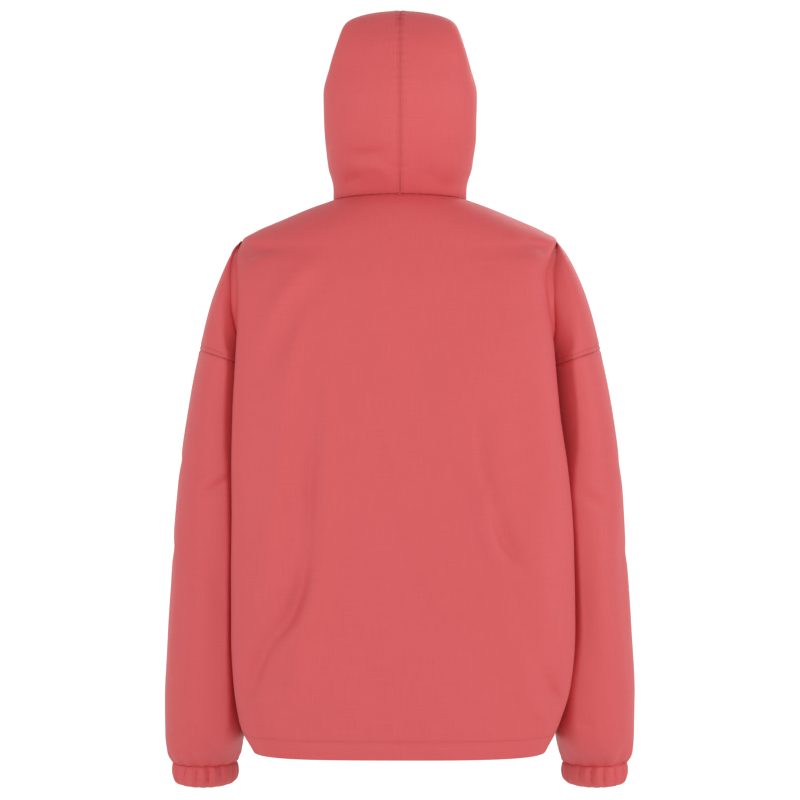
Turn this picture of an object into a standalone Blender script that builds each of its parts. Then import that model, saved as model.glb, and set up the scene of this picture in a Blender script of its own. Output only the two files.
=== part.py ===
"""An anorak pullover in its worn shape, hollow, with the hood up and the arms down.

One thin skin is drawn first, from short tables of sections in millimetres: the body from the
neck to the hem, the two arms and the hood. Each cut piece is then taken from that skin, drawn
back a little from its seams, and given its wall. The front faces -Y, the wearer's left is +X,
and the origin is the middle of the neck opening at the height of the hood seam.
"""

import bpy
import numpy as np
from mathutils import Matrix, Vector

MM = 0.001
WALL = 1.5  # cloth, a little thicker than the real weave
HEM_WALL = 2.6  # cloth turned twice at the hem and round the face
SEAM_GAP = 0.3  # between neighbouring pieces
HEM_DEPTH = 21.0
FACE_CASING = 22.0

BODY_COLUMNS = 14  # cells from the centre to the side
CHEST_ROWS, WAIST_ROWS = 3, 9  # from the underarm to the end of the zip, and on to the hem stitches
ARM_COLUMNS = 16  # cells from the underarm to the outer line, on the back and on the front
HOOD_ROWS = 11
CUFF_WAVES = 16  # gathers round an elastic cuff
CUFF_CELLS = 4  # cells for each gather

COLUMN_CROWDING = 0.85  # under 1 sets the cells closer towards the side
ARM_POWER = 2.2  # how full the outer quarter of an arm's ring is
CUFF_GATHER = 1.6  # how far the sleeve's cloth goes in and out where the elastic gathers it
GATHER_RINGS = 1.6  # how many rings of the sleeve that takes to fade out

ZIP_GAP = 7.0  # from the centre to the edge of the slit
ZIP_END = -308.0  # height of the lower end of the slit


def table(text):
    """Columns of numbers by name: the first line names them, each other line is a row."""
    lines = [line.split() for line in text.strip().splitlines()]
    rows = np.array([[float(value) for value in line[1:]] for line in lines[1:]])
    return {name: rows[:, i] for i, name in enumerate(lines[0][1:])}


# Sections of the body. Each runs from the centre line over an edge, where it turns inwards, to
# its side point: on the shoulder seam down to the tip, then in the crease beside the arm, then
# on the side seam. side_l and side_r are x of that point on the wearer's left and right.
BODY = table("""
section  z_side z_back z_front y_back y_front side_l side_r side_yb side_yf
neck         -5     -4     -75     62     -75     80     80      -8      -8
yoke_1    -12.5    -16     -88     74     -86    105    105      -8      -8
yoke_2      -27    -34    -104     84     -95    141    141      -8      -8
yoke_3      -41    -50    -120     90    -102    172    172      -8      -8
tip         -53    -66    -135     95    -107    189    188      -8      -8
crease_1    -75    -87    -150    101    -111    199    185      18     -38
crease_2    -97   -106    -164    106    -115    202    183      36     -54
crease_3   -130   -136    -182    111    -119    200    184      35     -54
crease_4   -160   -164    -199    115    -122    192    187      23     -43
crease_5   -190   -193    -216    119    -125    173    172       3     -22
underarm   -215   -220    -236    122    -127    150    150     -10     -10
chest      -260   -262    -270    126    -130    147    147     -10     -10
ribs       -330   -330    -333    131    -134    154    154     -10     -10
waist      -420   -420    -420    138    -137    164    164     -10     -10
hip        -510   -510    -510    145    -140    173    173     -10     -10
seat       -572   -572    -572    149    -141    180    180     -10     -10
blouse     -618   -618    -618    151    -141    182    181      -6      -6
hem        -651   -651    -651    152    -140    181    180       2       2
""")
# The edge of each section, where it turns inwards, and how square its curve to there is.
BODY.update(table("""
section  edge_l edge_r edge_yb edge_fx edge_yf power
neck         80     80      -8      80      -8   2.0
yoke_1      105    105      -8     105      -8   2.1
yoke_2      141    141      -8     141      -8   2.3
yoke_3      172    172      -8     172      -8   2.5
tip         189    188      -8     189      -8   2.6
crease_1    191    177      44     188     -60   2.6
crease_2    190    171      60     186     -76   2.6
crease_3    190    173      68     185     -82   2.6
crease_4    190    177      74     182     -86   2.6
crease_5    191    180      78     179     -88   2.6
underarm    192    182      80     177     -90   2.6
chest       194    186      82     180     -88   2.6
ribs        195    195      83     185     -86   2.7
waist       195    202      83     187     -86   2.7
hip         195    203      82     189     -86   2.8
seat        193    198      76     189     -80   3.0
blouse      187    186      62     187     -62   3.3
hem         170    169      60     176     -54   3.4
"""))
SECTIONS = len(BODY["z_side"])
NECK, TIP, UNDERARM, HEM = 0, 4, 10, SECTIONS - 1

# The outermost line of the arm, seen from the front or back.
ARM_LINE = table("""
at          z   x
tip       -54 188
cap_1     -71 200
cap_2     -92 211
cap_3    -125 224
armhole  -185 240
upper    -245 251
elbow_1  -317 262
elbow_2  -365 268
fore_1   -437 272
fore_2   -533 278
wrist_1  -617 281
wrist_2  -653 280
""")
# Where the flap of the dropped shoulder stands out furthest to the back and to the front, from
# the tip to the armhole: back, front are y; lean is how far towards the outer line that is.
FLAP = table("""
section   back front lean inner
tip         -8    -8 0.50  2.00
crease_1    29   -50 0.55  2.00
crease_2    46   -66 0.58  2.00
crease_3    56   -76 0.62  1.80
crease_4    63   -86 0.64  1.50
crease_5    69   -94 0.66  1.25
underarm    73   -99 0.68  1.08
""")
ARMHOLE_DROP = 30.0  # the armhole is this much lower at the underarm than at the outer line

# Rings of the sleeve. z is the height at the outer line and drop what the inner side is lower.
SLEEVE = table("""
ring       z    drop  inner outer back front middle lean_l lean_r inner_power
armhole   -185   30     150   240   73   -99    -10   0.68   0.68  1.08
upper     -232   22     155   250   72   -98    -11   0.65   0.65  1.20
biceps    -285   12     162   259   69   -94    -12   0.62   0.62  1.38
elbow     -350    4     168   267   73   -91    -14   0.34   0.36  1.26
forearm   -430    0     176   273   73   -86    -16   0.25   0.33  1.25
lower     -520    0     183   279   70   -82    -18   0.19   0.29  1.35
wrist     -600    0     187   283   64   -78    -19   0.16   0.20  2.20
full      -645    0     188   283   52   -75    -20   0.22   0.24  2.40
turn      -668    0     192   281   34   -69    -21   0.42   0.42  2.20
cuff      -683    0   196.5 274.5   17   -61    -22   0.50   0.50  2.00
""")
SLEEVE_ROWS = 15
CUFF_CENTRE = (235.5, -22.0)
CUFF = table("""
ring     z  radius wave
top   -683.3  38.4  1.0
mid   -695.0  38.0  1.3
end   -707.0  33.0  1.0
""")
CUFF_WALL = 2.2

# The centre seam of the hood from the neck to the forehead, and the edge round the face from
# the neck to the forehead, both seen from the side.
HOOD_BACK = table("""
at         y    z
neck      62   -4
nape      80   22
low      100   62
crown    110  110
""")
HOOD_TOP = table("""
at         y    z
crown    110  110
high     102  160
round     76  199
top       36  218
flat      -8  222
brow     -48  216
edge     -80  200
""")
HOOD_FACE = table("""
at         y    z
neck     -75  -75
chin     -86  -40
cheek    -94   20
temple   -96   90
brow     -92  150
edge     -80  200
""")
HOOD_WIDTH = table("""
at         z  half
neck     -75   80
side      -5   80
low       31   88
ear       67   91
wide     115   92
temple   151   86
upper    187   70
top      211   63
""")
# How far from the centre seam the hood is rounded, at the back and on the top; the heights
# between which the one turns into the other.
HOOD_ROUND_BACK, HOOD_ROUND_TOP, ROUND_FROM, ROUND_OVER = 70.0, 19.0, 110.0, 95.0
FACE_NARROWING = 0.20  # share of its width that the hood loses towards the face
BACK_CROWDING, TOP_CROWDING = 0.45, 0.55  # size of the cells at the seam, against even ones
FLARE_BACK, FLARE_FRONT = 0.08, 0.32  # share of the hood's height that widens from the neck

# The largest folds. Each is a soft ridge (+) or trough (-) along a curve through three points.
FOLDS = table("""
fold            face   x0    z0   x1    z1   x2    z2 height width
yoke_ridge_l       1   98   -80  140  -120  168  -186    3.0    13
long_ridge_l       1  112  -125  130  -280  168  -500    4.0    16
inner_ridge_l      1   90  -225   92  -400  132  -600    4.0    15
long_trough_l      1  104  -290  112  -470  186  -625   -6.5    14
diagonal_r         1  -90  -270 -104  -370 -146  -440   -5.0    12
beside_r           1  -95  -350 -108  -420 -124  -452    3.0    11
shoulder_l         1  194   -64  176   -68  142   -66   -3.5    11
shoulder_r         1 -176   -60 -158   -62 -138   -64   -3.0    10
hem_corner_r       1 -172  -580 -184  -600 -190  -615   -4.0    12
elbow_l            1  250  -358  226  -346  205  -338   -4.0    12
elbow_r            1 -256  -380 -232  -362 -210  -350   -3.5    12
blouse_l           1  270  -640  236  -655  206  -650   -3.0    12
blouse_r           1 -270  -650 -240  -640 -206  -655   -3.5    12
chest_l           -1   60  -200   92  -330  118  -500    4.0    16
chest_r           -1  -52  -210  -80  -340  -96  -480   -4.5    15
side_l            -1  140  -170  150  -330  170  -520   -5.0    15
side_r            -1 -144  -180 -146  -350 -150  -560    4.0    16
front_hem_r       -1 -100  -500 -130  -560 -166  -610   -5.0    13
bend_l            -1  250  -330  226  -352  200  -360   -6.0    12
bend_low_l        -1  256  -395  230  -402  206  -398   -4.5    12
bend_r            -1 -250  -340 -226  -356 -200  -352   -6.0    12
bend_low_r        -1 -258  -410 -234  -404 -208  -412   -4.5    12
""")

TAPE_WIDTH, TAPE_WALL, TAPE_DEPTH = 13.0, 1.0, 1.9  # depth is that of its face under the front
TAPE_PAST_SLIT = 12.0
TEETH_WIDTH, TEETH_PROUD = 5.2, 0.2
SLIDER_DOWN = 11.0  # the slider's middle, below the neck along the zip
SLIDER_LENGTH, SLIDER_WIDTH, SLIDER_TAIL, SLIDER_TOP, SLIDER_DEEP = 12.0, 9.0, 6.7, 2.2, 1.1
CORNER = 1.0
BRIDGE_LENGTH, BRIDGE_WIDTH, BRIDGE_TOP, BRIDGE_BAR = 9.2, 2.2, 6.1, 1.1
BRIDGE_POST, BRIDGE_SUNK = 1.5, 1.0  # thickness of its two feet, and how deep they sit
HINGE_DOWN, HINGE_OUT = 1.2, 3.85  # the pull tab's axis, from the slider's middle
TAB_LENGTH, TAB_WIDTH, TAB_THICK = 31.0, 6.8, 1.4
TAB_BAR, TAB_ARM, TAB_EYE = 1.4, 7.2, 3.4

CORAL = (0.67, 0.115, 0.122, 1.0)
METAL = (0.60, 0.13, 0.13, 1.0)
CLOTH_ROUGHNESS, PLASTIC_ROUGHNESS, METAL_ROUGHNESS = 0.75, 0.5, 0.35
METAL_EDGE = 0.25
SHARP = 0.9  # radians between faces, past which an edge isn't shaded smooth


def smooth(at, xs, ys):
    """Monotone cubic curve through (xs, ys): smooth, and it never swings past a value."""
    at, xs, ys = (np.asarray(v, float) for v in (at, xs, ys))
    if xs[0] > xs[-1]:
        xs, ys = xs[::-1], ys[::-1]
    step = np.diff(xs)
    slope = np.diff(ys) / step
    turn = slope[1:] * slope[:-1] > 0
    before, after = np.where(turn, slope[:-1], 1.0), np.where(turn, slope[1:], 1.0)
    near, far = 2 * step[1:] + step[:-1], step[1:] + 2 * step[:-1]
    inner = np.where(turn, (near + far) / (near / before + far / after), 0.0)
    tangent = np.concatenate([slope[:1], inner, slope[-1:]])
    i = np.clip(np.searchsorted(xs, at) - 1, 0, len(step) - 1)
    t, h = (at - xs[i]) / step[i], step[i]
    low = (1 + 2 * t) * (1 - t) ** 2 * ys[i] + t * (1 - t) ** 2 * h * tangent[i]
    high = t * t * (3 - 2 * t) * ys[i + 1] + t * t * (t - 1) * h * tangent[i + 1]
    return low + high


def ease(t):
    """0 to 1 with a level start and end."""
    t = np.clip(t, 0.0, 1.0)
    return t * t * (3 - 2 * t)


def along(points, fractions):
    """Points of a polyline at fractions of its length."""
    length = np.concatenate([[0.0], np.cumsum(np.linalg.norm(np.diff(points, axis=0), axis=1))])
    at = np.asarray(fractions) * length[-1]
    return np.stack([np.interp(at, length, points[:, k]) for k in range(3)], axis=1)


def quadrant(t, power):
    """The two shares of a superellipse, from the first axis (t = 0) to the second (t = 1)."""
    angle = t * np.pi / 2
    return np.cos(angle) ** (2 / power), np.sin(angle) ** (2 / power)


def body_value(column, section):
    return float(smooth(section, np.arange(SECTIONS), BODY[column]))


def side_point(section, side, back):
    """The end of a body section on the shoulder line, in the crease or on the side seam."""
    x = side * body_value("side_l" if side > 0 else "side_r", section)
    y = body_value("side_yb" if back else "side_yf", section)
    return np.array([x, y, body_value("z_side", section)])


def body_section(section, side, back, start_x):
    """One section of the body from the centre to its side point, as a row of points.

    A superellipse quarter goes from the centre to the edge, and a curve from there turns in to
    the side point, level at both ends. The height changes evenly with y.
    """
    end = side_point(section, side, back)
    centre_y = body_value("y_back" if back else "y_front", section)
    centre_z = body_value("z_back" if back else "z_front", section)
    edge_name = ("edge_l" if side > 0 else "edge_r") if back else "edge_fx"
    edge_x = body_value(edge_name, section)
    edge_y = body_value("edge_yb" if back else "edge_yf", section)
    side_x = abs(end[0])
    inward, outward = quadrant(np.linspace(0, 1, 60), body_value("power", section))
    x = edge_x * outward
    y = edge_y + (centre_y - edge_y) * inward
    if section > TIP:
        t = np.linspace(1, 0, 30)[1:]
        x = np.concatenate([x, side_x + (edge_x - side_x) * ease(t)])
        y = np.concatenate([y, end[1] + (edge_y - end[1]) * t])
    z = end[2] + (centre_z - end[2]) * (y - end[1]) / (centre_y - end[1])
    points = np.stack([x, y, z], axis=1)
    points[-1] = [side_x, end[1], end[2]]
    if start_x > 0:
        at = float(np.interp(start_x, points[:, 0], np.arange(len(points))))
        first = along(points[int(at) : int(at) + 2], [at - int(at)])
        points = np.concatenate([first, points[int(at) + 1 :]])
        points[0, 0] = start_x
    spread = np.linspace(0, 1, BODY_COLUMNS + 1) ** COLUMN_CROWDING
    row = along(points, spread)
    row[:, 0] *= side
    return row


def section_at(height):
    """The section number at which the side of the body has a given height."""
    return float(smooth(height, BODY["z_side"], np.arange(SECTIONS)))


def body_rows():
    """Section numbers of the rows, neck to hem. One of them is at the end of the zip."""
    upper = list(np.arange(NECK, UNDERARM + 1))
    stitches = BODY["z_side"][HEM] + HEM_DEPTH
    chest = np.linspace(BODY["z_side"][UNDERARM], ZIP_END, CHEST_ROWS + 1)[1:]
    waist = np.linspace(ZIP_END, stitches, WAIST_ROWS + 1)[1:]
    return upper + [section_at(z) for z in np.concatenate([chest, waist])] + [HEM]


def body_grid(side, back):
    return np.array([body_section(p, side, back, 0.0 if back else ZIP_GAP) for p in body_rows()])


def below_slit(front):
    """The strip between the middle and the front's main grid, from the slit's end to the hem."""
    edge = front[-WAIST_ROWS - 2 :, 0]
    return np.stack([edge * (0, 1, 1), edge], axis=1)


def arm_curve(inner, outer, peak_y, lean, inner_power, cells):
    """Half a ring of the arm: from the inner point over its furthest y to the outer line.

    Two superellipse quarters meet where y is furthest. The height goes evenly with x.
    """
    peak_x = inner[0] + (outer[0] - inner[0]) * lean
    t = np.linspace(0, 1, 50)
    first, second = quadrant(t, inner_power), quadrant(t[1:], ARM_POWER)
    x_in, x_out = peak_x - (peak_x - inner[0]) * first[0], peak_x + (outer[0] - peak_x) * second[1]
    y_in, y_out = inner[1] + (peak_y - inner[1]) * first[1], outer[1] + (peak_y - outer[1]) * second[0]
    x, y = np.concatenate([x_in, x_out]), np.concatenate([y_in, y_out])
    z = inner[2] + (outer[2] - inner[2]) * (x - inner[0]) / (outer[0] - inner[0])
    return along(np.stack([x, y, z], axis=1), np.linspace(0, 1, cells + 1))


def flap_grid(side, back):
    """The dropped shoulder beside the crease, from the shoulder tip down to the armhole."""
    rows = []
    tip, armhole = BODY["z_side"][TIP], BODY["z_side"][UNDERARM]
    for section in range(TIP, UNDERARM + 1):
        inner = side_point(section, side, back) * (side, 1, 1)
        share = (inner[2] - tip) / (armhole - tip)
        z = inner[2] + ARMHOLE_DROP * share
        outer = np.array([smooth(z, ARM_LINE["z"], ARM_LINE["x"]), -8.0 - 2.0 * share, z])
        if section == TIP:
            rows.append(np.repeat(side_point(TIP, side, back)[None], ARM_COLUMNS + 1, axis=0))
            continue
        i = section - TIP
        peak = FLAP["back" if back else "front"][i]
        row = arm_curve(inner, outer, peak, FLAP["lean"][i], FLAP["inner"][i], ARM_COLUMNS)
        rows.append(row * (side, 1, 1))
    return np.array(rows)


def sleeve_grid(side):
    """Closed rings from the armhole to the cuff, round from the underarm over the back."""
    rings = np.arange(len(SLEEVE["z"]))
    rows = []
    for ring in np.linspace(0, rings[-1], SLEEVE_ROWS + 1):
        value = {name: float(smooth(ring, rings, column)) for name, column in SLEEVE.items()}
        inner = np.array([value["inner"], value["middle"], value["z"] - value["drop"]])
        outer = np.array([value["outer"], value["middle"], value["z"]])
        lean = value["lean_l" if side > 0 else "lean_r"]
        halves = [
            arm_curve(inner, outer, value[face], lean, value["inner_power"], ARM_COLUMNS)
            for face in ("back", "front")
        ]
        row = np.concatenate([halves[0], halves[1][::-1][1:]])
        gather = CUFF_GATHER * ease((ring - rings[-1] + GATHER_RINGS) / GATHER_RINGS)
        outward = row - [np.mean(row[:, 0]), value["middle"], 0]
        outward[:, 2] = 0
        outward /= np.linalg.norm(outward, axis=1)[:, None]
        wave = np.where(np.arange(len(row)) % 2, gather, -gather)
        rows.append((row + outward * wave[:, None]) * (side, 1, 1))
    return np.array(rows)


def curve_2d(rows, fractions):
    """A smooth curve through the y and z of a table, at fractions of its length."""
    at = np.arange(len(rows["y"]))
    fine = np.linspace(0, at[-1], 120)
    y, z = smooth(fine, at, rows["y"]), smooth(fine, at, rows["z"])
    return along(np.stack([np.zeros(120), y, z], axis=1), fractions)


def hood_grid(side, neck):
    """Half the hood above a row of neck points that runs from the centre back to the front.

    Seen from the side it is a patch between the neck, the centre seam and the face edge. Its
    half width follows the height, and is rounded in towards the centre seam.
    """
    columns = len(neck)
    u = np.linspace(0, 1, columns)
    v = np.linspace(0, 1, HOOD_ROWS + 1)
    to_face = u * (BACK_CROWDING + (1 - BACK_CROWDING) * u)
    to_top = v * (1 + TOP_CROWDING - TOP_CROWDING * v)
    back, top = curve_2d(HOOD_BACK, to_top), curve_2d(HOOD_TOP, to_face)
    face = curve_2d(HOOD_FACE, to_top)
    bottom = neck * (0, 1, 1)
    run = np.linalg.norm(np.diff(bottom, axis=0), axis=1).cumsum()
    run = np.concatenate([[0.0], run]) / run[-1]
    t = to_top[:, None, None]
    s = run[None, :, None] * (1 - t) + to_face[None, :, None] * t
    corners = (1 - s) * (1 - t) * bottom[0] + s * (1 - t) * bottom[-1]
    corners = corners + (1 - s) * t * top[0] + s * t * top[-1]
    across, up = (1 - t) * bottom[None] + t * top[None], (1 - s) * back[:, None] + s * face[:, None]
    patch = across + up - corners
    fine = np.linspace(0, 1, 60)
    seam = np.concatenate([curve_2d(HOOD_BACK, fine), curve_2d(HOOD_TOP, fine)])
    near = np.linalg.norm(patch[:, :, None, 1:] - seam[None, None, :, 1:], axis=3).min(axis=2)
    z = patch[:, :, 2]
    radius = HOOD_ROUND_BACK + (HOOD_ROUND_TOP - HOOD_ROUND_BACK) * ease((z - ROUND_FROM) / ROUND_OVER)
    inside = np.clip(1 - near / radius, 0, 1)
    half = smooth(z, HOOD_WIDTH["z"], HOOD_WIDTH["half"]) * np.sqrt(1 - inside**2)
    half *= 1 - FACE_NARROWING * u[None, :] ** 3
    half[:, 0] = 0
    half[-1, :] = 0
    rise = ease(v[:, None] / (FLARE_BACK + FLARE_FRONT * u[None, :] ** 2))
    patch[:, :, 0] = np.abs(neck[None, :, 0]) * (1 - rise) + half * rise
    patch[0] = neck * (side, 1, 1)
    patch[:, :, 0] = np.abs(patch[:, :, 0]) * side
    patch[:, 0, 0] = 0
    patch[-1, :, 0] = 0
    return patch


class Skin:
    """A surface of shared points, with the cells of each piece under its name."""

    def __init__(self):
        self.points, self.number, self.cells = [], {}, {}

    def point(self, p):
        key = tuple(np.round(p, 5) + 0.0)
        if key not in self.number:
            self.number[key] = len(self.points)
            self.points.append(np.array(p, float))
        return self.number[key]

    def add(self, piece, grid, turned=False):
        """Four-sided cells of a grid; a cell with two equal corners becomes a triangle."""
        ids = [[self.point(p) for p in row] for row in grid]
        for low, high in zip(ids[:-1], ids[1:]):
            for a, b, c, d in zip(low, low[1:], high[1:], high):
                cell = [a, b, c, d] if turned else [d, c, b, a]
                cell = [p for i, p in enumerate(cell) if p != cell[i - 1]]
                if len(cell) > 2:
                    self.cells.setdefault(piece, []).append(cell)

    def triangles(self, name):
        """The cells of a piece, each cut along its shorter diagonal, but never along the middle."""
        points, cut = np.array(self.points), []
        middle = np.abs(points[:, 0]) < 0.01
        for cell in self.cells[name]:
            if len(cell) == 3:
                cut.append(cell)
                continue
            a, b, c, d = cell
            across = np.linalg.norm(points[a] - points[c]) <= np.linalg.norm(points[b] - points[d])
            if middle[b] and middle[d]:
                across = True
            elif middle[a] and middle[c]:
                across = False
            cut += [[a, b, c], [a, c, d]] if across else [[a, b, d], [b, c, d]]
        return cut

    def normals(self, names):
        """Unit normals of the points, from the triangles around each, weighted by their area."""
        points = np.array(self.points)
        faces = np.array([face for name in names for face in self.triangles(name)])
        a, b, c = (points[faces[:, i]] for i in range(3))
        total = np.zeros_like(points)
        for i in range(3):
            np.add.at(total, faces[:, i], np.cross(b - a, c - a))
        return total / np.maximum(np.linalg.norm(total, axis=1), 1e-9)[:, None]

    def fold(self):
        """Moves the points along their normals by the folds of the table."""
        points, normals = np.array(self.points), self.normals(self.cells)
        offset = np.zeros(len(points))
        s = np.linspace(0, 1, 25)[:, None]
        for i in range(len(FOLDS["face"])):
            fold = {name: column[i] for name, column in FOLDS.items()}
            a, b, c = (np.array([fold[f"x{k}"], fold[f"z{k}"]]) for k in range(3))
            curve = (1 - s) ** 2 * a + 2 * s * (1 - s) * b + s * s * c
            apart = np.linalg.norm(points[:, None, ::2] - curve[None], axis=2)
            ends = np.sin(np.pi * (0.08 + 0.84 * apart.argmin(axis=1) / 24))
            shape = np.exp(-((apart.min(axis=1) / fold["width"]) ** 2)) * ends
            offset += fold["height"] * shape * ease((normals[:, 1] * fold["face"] - 0.15) / 0.5)
        self.points = list(points + normals * offset[:, None])


def inward(points, edges):
    """For each point on the edge of a piece, the direction along the cloth into the piece."""
    pull = {}
    for (a, b), face in edges.items():
        corners = points[face]
        normal = np.cross(corners[1] - corners[0], corners[2] - corners[0])
        into = np.cross(normal, points[b] - points[a])
        for p in (a, b):
            pull[p] = pull.get(p, 0) + into / max(np.linalg.norm(into), 1e-9)
    return {p: into / max(np.linalg.norm(into), 1e-9) for p, into in pull.items()}


def cloth_piece(skin, name, wall, shared, gap=SEAM_GAP / 2):
    """Cuts one piece from the skin and gives it its wall, as a closed solid.

    wall gives the thickness in millimetres at the piece's points. shared holds the normals of
    the whole skin, so that the walls of neighbours end side by side. Where they are no guide
    to the piece's own side, as at the underarm, the piece keeps its own and ends sooner.
    """
    faces, points = skin.triangles(name), np.array(skin.points)
    own = skin.normals([name])
    astray = np.sum(own * shared, axis=1) < 0.5
    normals = np.where(astray[:, None], own, shared)
    edges = {}
    for face in faces:
        for a, b in zip(face, face[1:] + face[:1]):
            if (b, a) in edges:
                del edges[(b, a)]
            else:
                edges[(a, b)] = face
    for p, into in inward(points, edges).items():
        points[p] = points[p] + into * (WALL + SEAM_GAP if astray[p] else gap)
    used = sorted({p for face in faces for p in face})
    local = {p: i for i, p in enumerate(used)}
    count = len(used)
    outer = points[used]
    inner = outer - normals[used] * wall(outer)[:, None]
    solid_faces = [[local[p] for p in face] for face in faces]
    solid_faces += [[local[p] + count for p in reversed(face)] for face in faces]
    for a, b in edges:
        first, second = local[a], local[b]
        if a < b:
            rim = [[second, first, second + count], [first, first + count, second + count]]
        else:
            rim = [[second, first, first + count], [second, first + count, second + count]]
        solid_faces += rim
    return solid(name, np.concatenate([outer, inner]), solid_faces)


def material(name, colour, roughness, metallic):
    made = bpy.data.materials.new(name)
    made.use_nodes = True
    shader = made.node_tree.nodes["Principled BSDF"]
    shader.inputs["Base Color"].default_value = colour
    shader.inputs["Roughness"].default_value = roughness
    shader.inputs["Metallic"].default_value = metallic
    made.diffuse_color = colour
    return made


def solid(name, points, faces):
    """A mesh object of cloth from points in millimetres."""
    mesh = bpy.data.meshes.new(name)
    mesh.from_pydata([tuple(p * MM) for p in points], [], faces)
    mesh.update()
    mesh.shade_smooth()
    mesh.set_sharp_from_angle(angle=SHARP)
    mesh.materials.append(material(name, CORAL, CLOTH_ROUGHNESS, 0.0))
    piece = bpy.data.objects.new(name, mesh)
    bpy.context.collection.objects.link(piece)
    return piece


def panel_wall(points):
    """The wall of a body panel: doubled in the hem."""
    hem = BODY["z_side"][HEM]
    return WALL + (HEM_WALL - WALL) * ease((hem + HEM_DEPTH + 4 - points[:, 2]) / 6)


def hood_wall(points):
    """The wall of the hood: doubled in the casing along the face edge."""
    edge = curve_2d(HOOD_FACE, np.linspace(0, 1, 60))
    apart = np.linalg.norm(points[:, None, 1:] - edge[None, :, 1:], axis=2).min(axis=1)
    return WALL + (HEM_WALL - WALL) * ease((FACE_CASING - apart) / 8)


def plain_wall(points):
    return np.full(len(points), WALL)


def cuff_wall(points):
    return np.full(len(points), CUFF_WALL)


def build_garment():
    """The back, the front, the sleeves and the hood, which share the points of their seams."""
    skin = Skin()
    for side, word in ((1, "left"), (-1, "right")):
        back, front = body_grid(side, True), body_grid(side, False)
        back_flap, front_flap = flap_grid(side, True), flap_grid(side, False)
        sleeve = sleeve_grid(side)
        sleeve[0] = np.concatenate([back_flap[-1], front_flap[-1][::-1][1:]])
        neck = np.concatenate([back[0], front[0][::-1][1:]])
        skin.add("back_panel", back, turned=side > 0)
        skin.add("back_panel", back_flap, turned=side > 0)
        skin.add("front_panel", front, turned=side < 0)
        skin.add("front_panel", front_flap, turned=side < 0)
        skin.add("front_panel", below_slit(front), turned=side < 0)
        skin.add(f"sleeve_{word}", sleeve, turned=side > 0)
        skin.add(f"hood_{word}", hood_grid(side, neck), turned=side < 0)
    skin.fold()
    shared = skin.normals(skin.cells)
    walls = {"back_panel": panel_wall, "front_panel": panel_wall}
    walls |= {"hood_left": hood_wall, "hood_right": hood_wall}
    for name in skin.cells:
        cloth_piece(skin, name, walls.get(name, plain_wall), shared)


def build_cuff(side, word):
    """An elastic cuff: rings whose radius waves with the gathers."""
    angle = np.linspace(0, 2 * np.pi, CUFF_WAVES * CUFF_CELLS + 1)
    rings = []
    for z, radius, wave in zip(CUFF["z"], CUFF["radius"], CUFF["wave"]):
        r = radius + wave * np.cos(angle * CUFF_WAVES)
        x = side * CUFF_CENTRE[0] + r * np.cos(angle)
        rings.append(np.stack([x, CUFF_CENTRE[1] + r * np.sin(angle), np.full(len(r), z)], axis=1))
    grid = np.array(rings)
    grid[:, -1] = grid[:, 0]
    skin = Skin()
    name = f"cuff_{word}"
    skin.add(name, grid)
    cloth_piece(skin, name, cuff_wall, skin.normals([name]), gap=0.0)


def zip_line():
    """The centre line of the front from the neck to the end of the slit: points and normals."""
    sections = body_rows()[: -WAIST_ROWS - 1]
    points = np.array([body_section(p, 1, False, ZIP_GAP)[0] for p in sections])
    points[:, 0] = 0
    run = np.gradient(points, axis=0)
    run /= np.linalg.norm(run, axis=1)[:, None]
    normals = np.stack([np.zeros(len(run)), run[:, 2], -run[:, 1]], axis=1)
    return points, run, normals


def strip(name, points, normals, left, right, outside, inside, roughness):
    """A flat band along a line: from x left to x right, between two depths under the line."""
    rows = []
    for x, depth in ((left, outside), (right, outside), (right, inside), (left, inside)):
        rows.append(points - normals * depth + [x, 0, 0])
    corners = np.stack(rows, axis=1)
    count = len(points)
    faces = [[0, 1, 2, 3], [count * 4 - 1, count * 4 - 2, count * 4 - 3, count * 4 - 4]]
    for i in range(0, count * 4 - 4, 4):
        for k in range(4):
            following = (k + 1) % 4
            faces.append([i + 4 + k, i + 4 + following, i + following, i + k])
    mesh = bpy.data.meshes.new(name)
    mesh.from_pydata([tuple(p * MM) for p in corners.reshape(-1, 3)], [], faces)
    mesh.materials.append(material(name, CORAL, roughness, 0.0))
    band = bpy.data.objects.new(name, mesh)
    bpy.context.collection.objects.link(band)
    return band


def prism(name, outline, axis, low, high):
    """A mesh of an outline, in the two axes after the given one, drawn out along that axis."""
    flat = np.array(outline)
    turned = np.roll(flat, -1, axis=0)
    if np.sum(flat[:, 0] * turned[:, 1] - flat[:, 1] * turned[:, 0]) < 0:
        flat = flat[::-1]
    count = len(flat)
    points = np.zeros((2 * count, 3))
    points[:, (axis + 1) % 3] = np.tile(flat[:, 0], 2)
    points[:, (axis + 2) % 3] = np.tile(flat[:, 1], 2)
    points[:, axis] = np.repeat([low, high], count)
    faces = [list(range(count))[::-1], list(range(count, 2 * count))]
    faces += [[i, (i + 1) % count, (i + 1) % count + count, i + count] for i in range(count)]
    mesh = bpy.data.meshes.new(name)
    mesh.from_pydata([tuple(p * MM) for p in points], [], faces)
    return mesh


def metal_piece(name, place, body, tool, operation):
    """A small metal piece: a prism with a second one joined to it or cut from it, edges eased."""
    piece = bpy.data.objects.new(name, prism(name, *body))
    piece.data.materials.append(material(name, METAL, METAL_ROUGHNESS, 1.0))
    helper = bpy.data.objects.new(name + "_tool", prism(name + "_tool", *tool))
    helper.hide_render, helper.display_type = True, "WIRE"
    for thing in (piece, helper):
        bpy.context.collection.objects.link(thing)
        thing.matrix_world = place
    boolean = piece.modifiers.new("shape", "BOOLEAN")
    boolean.operation, boolean.object, boolean.solver = operation, helper, "EXACT"
    bevel = piece.modifiers.new("edges", "BEVEL")
    bevel.width, bevel.segments, bevel.limit_method = METAL_EDGE * MM, 1, "ANGLE"
    return piece


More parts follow.
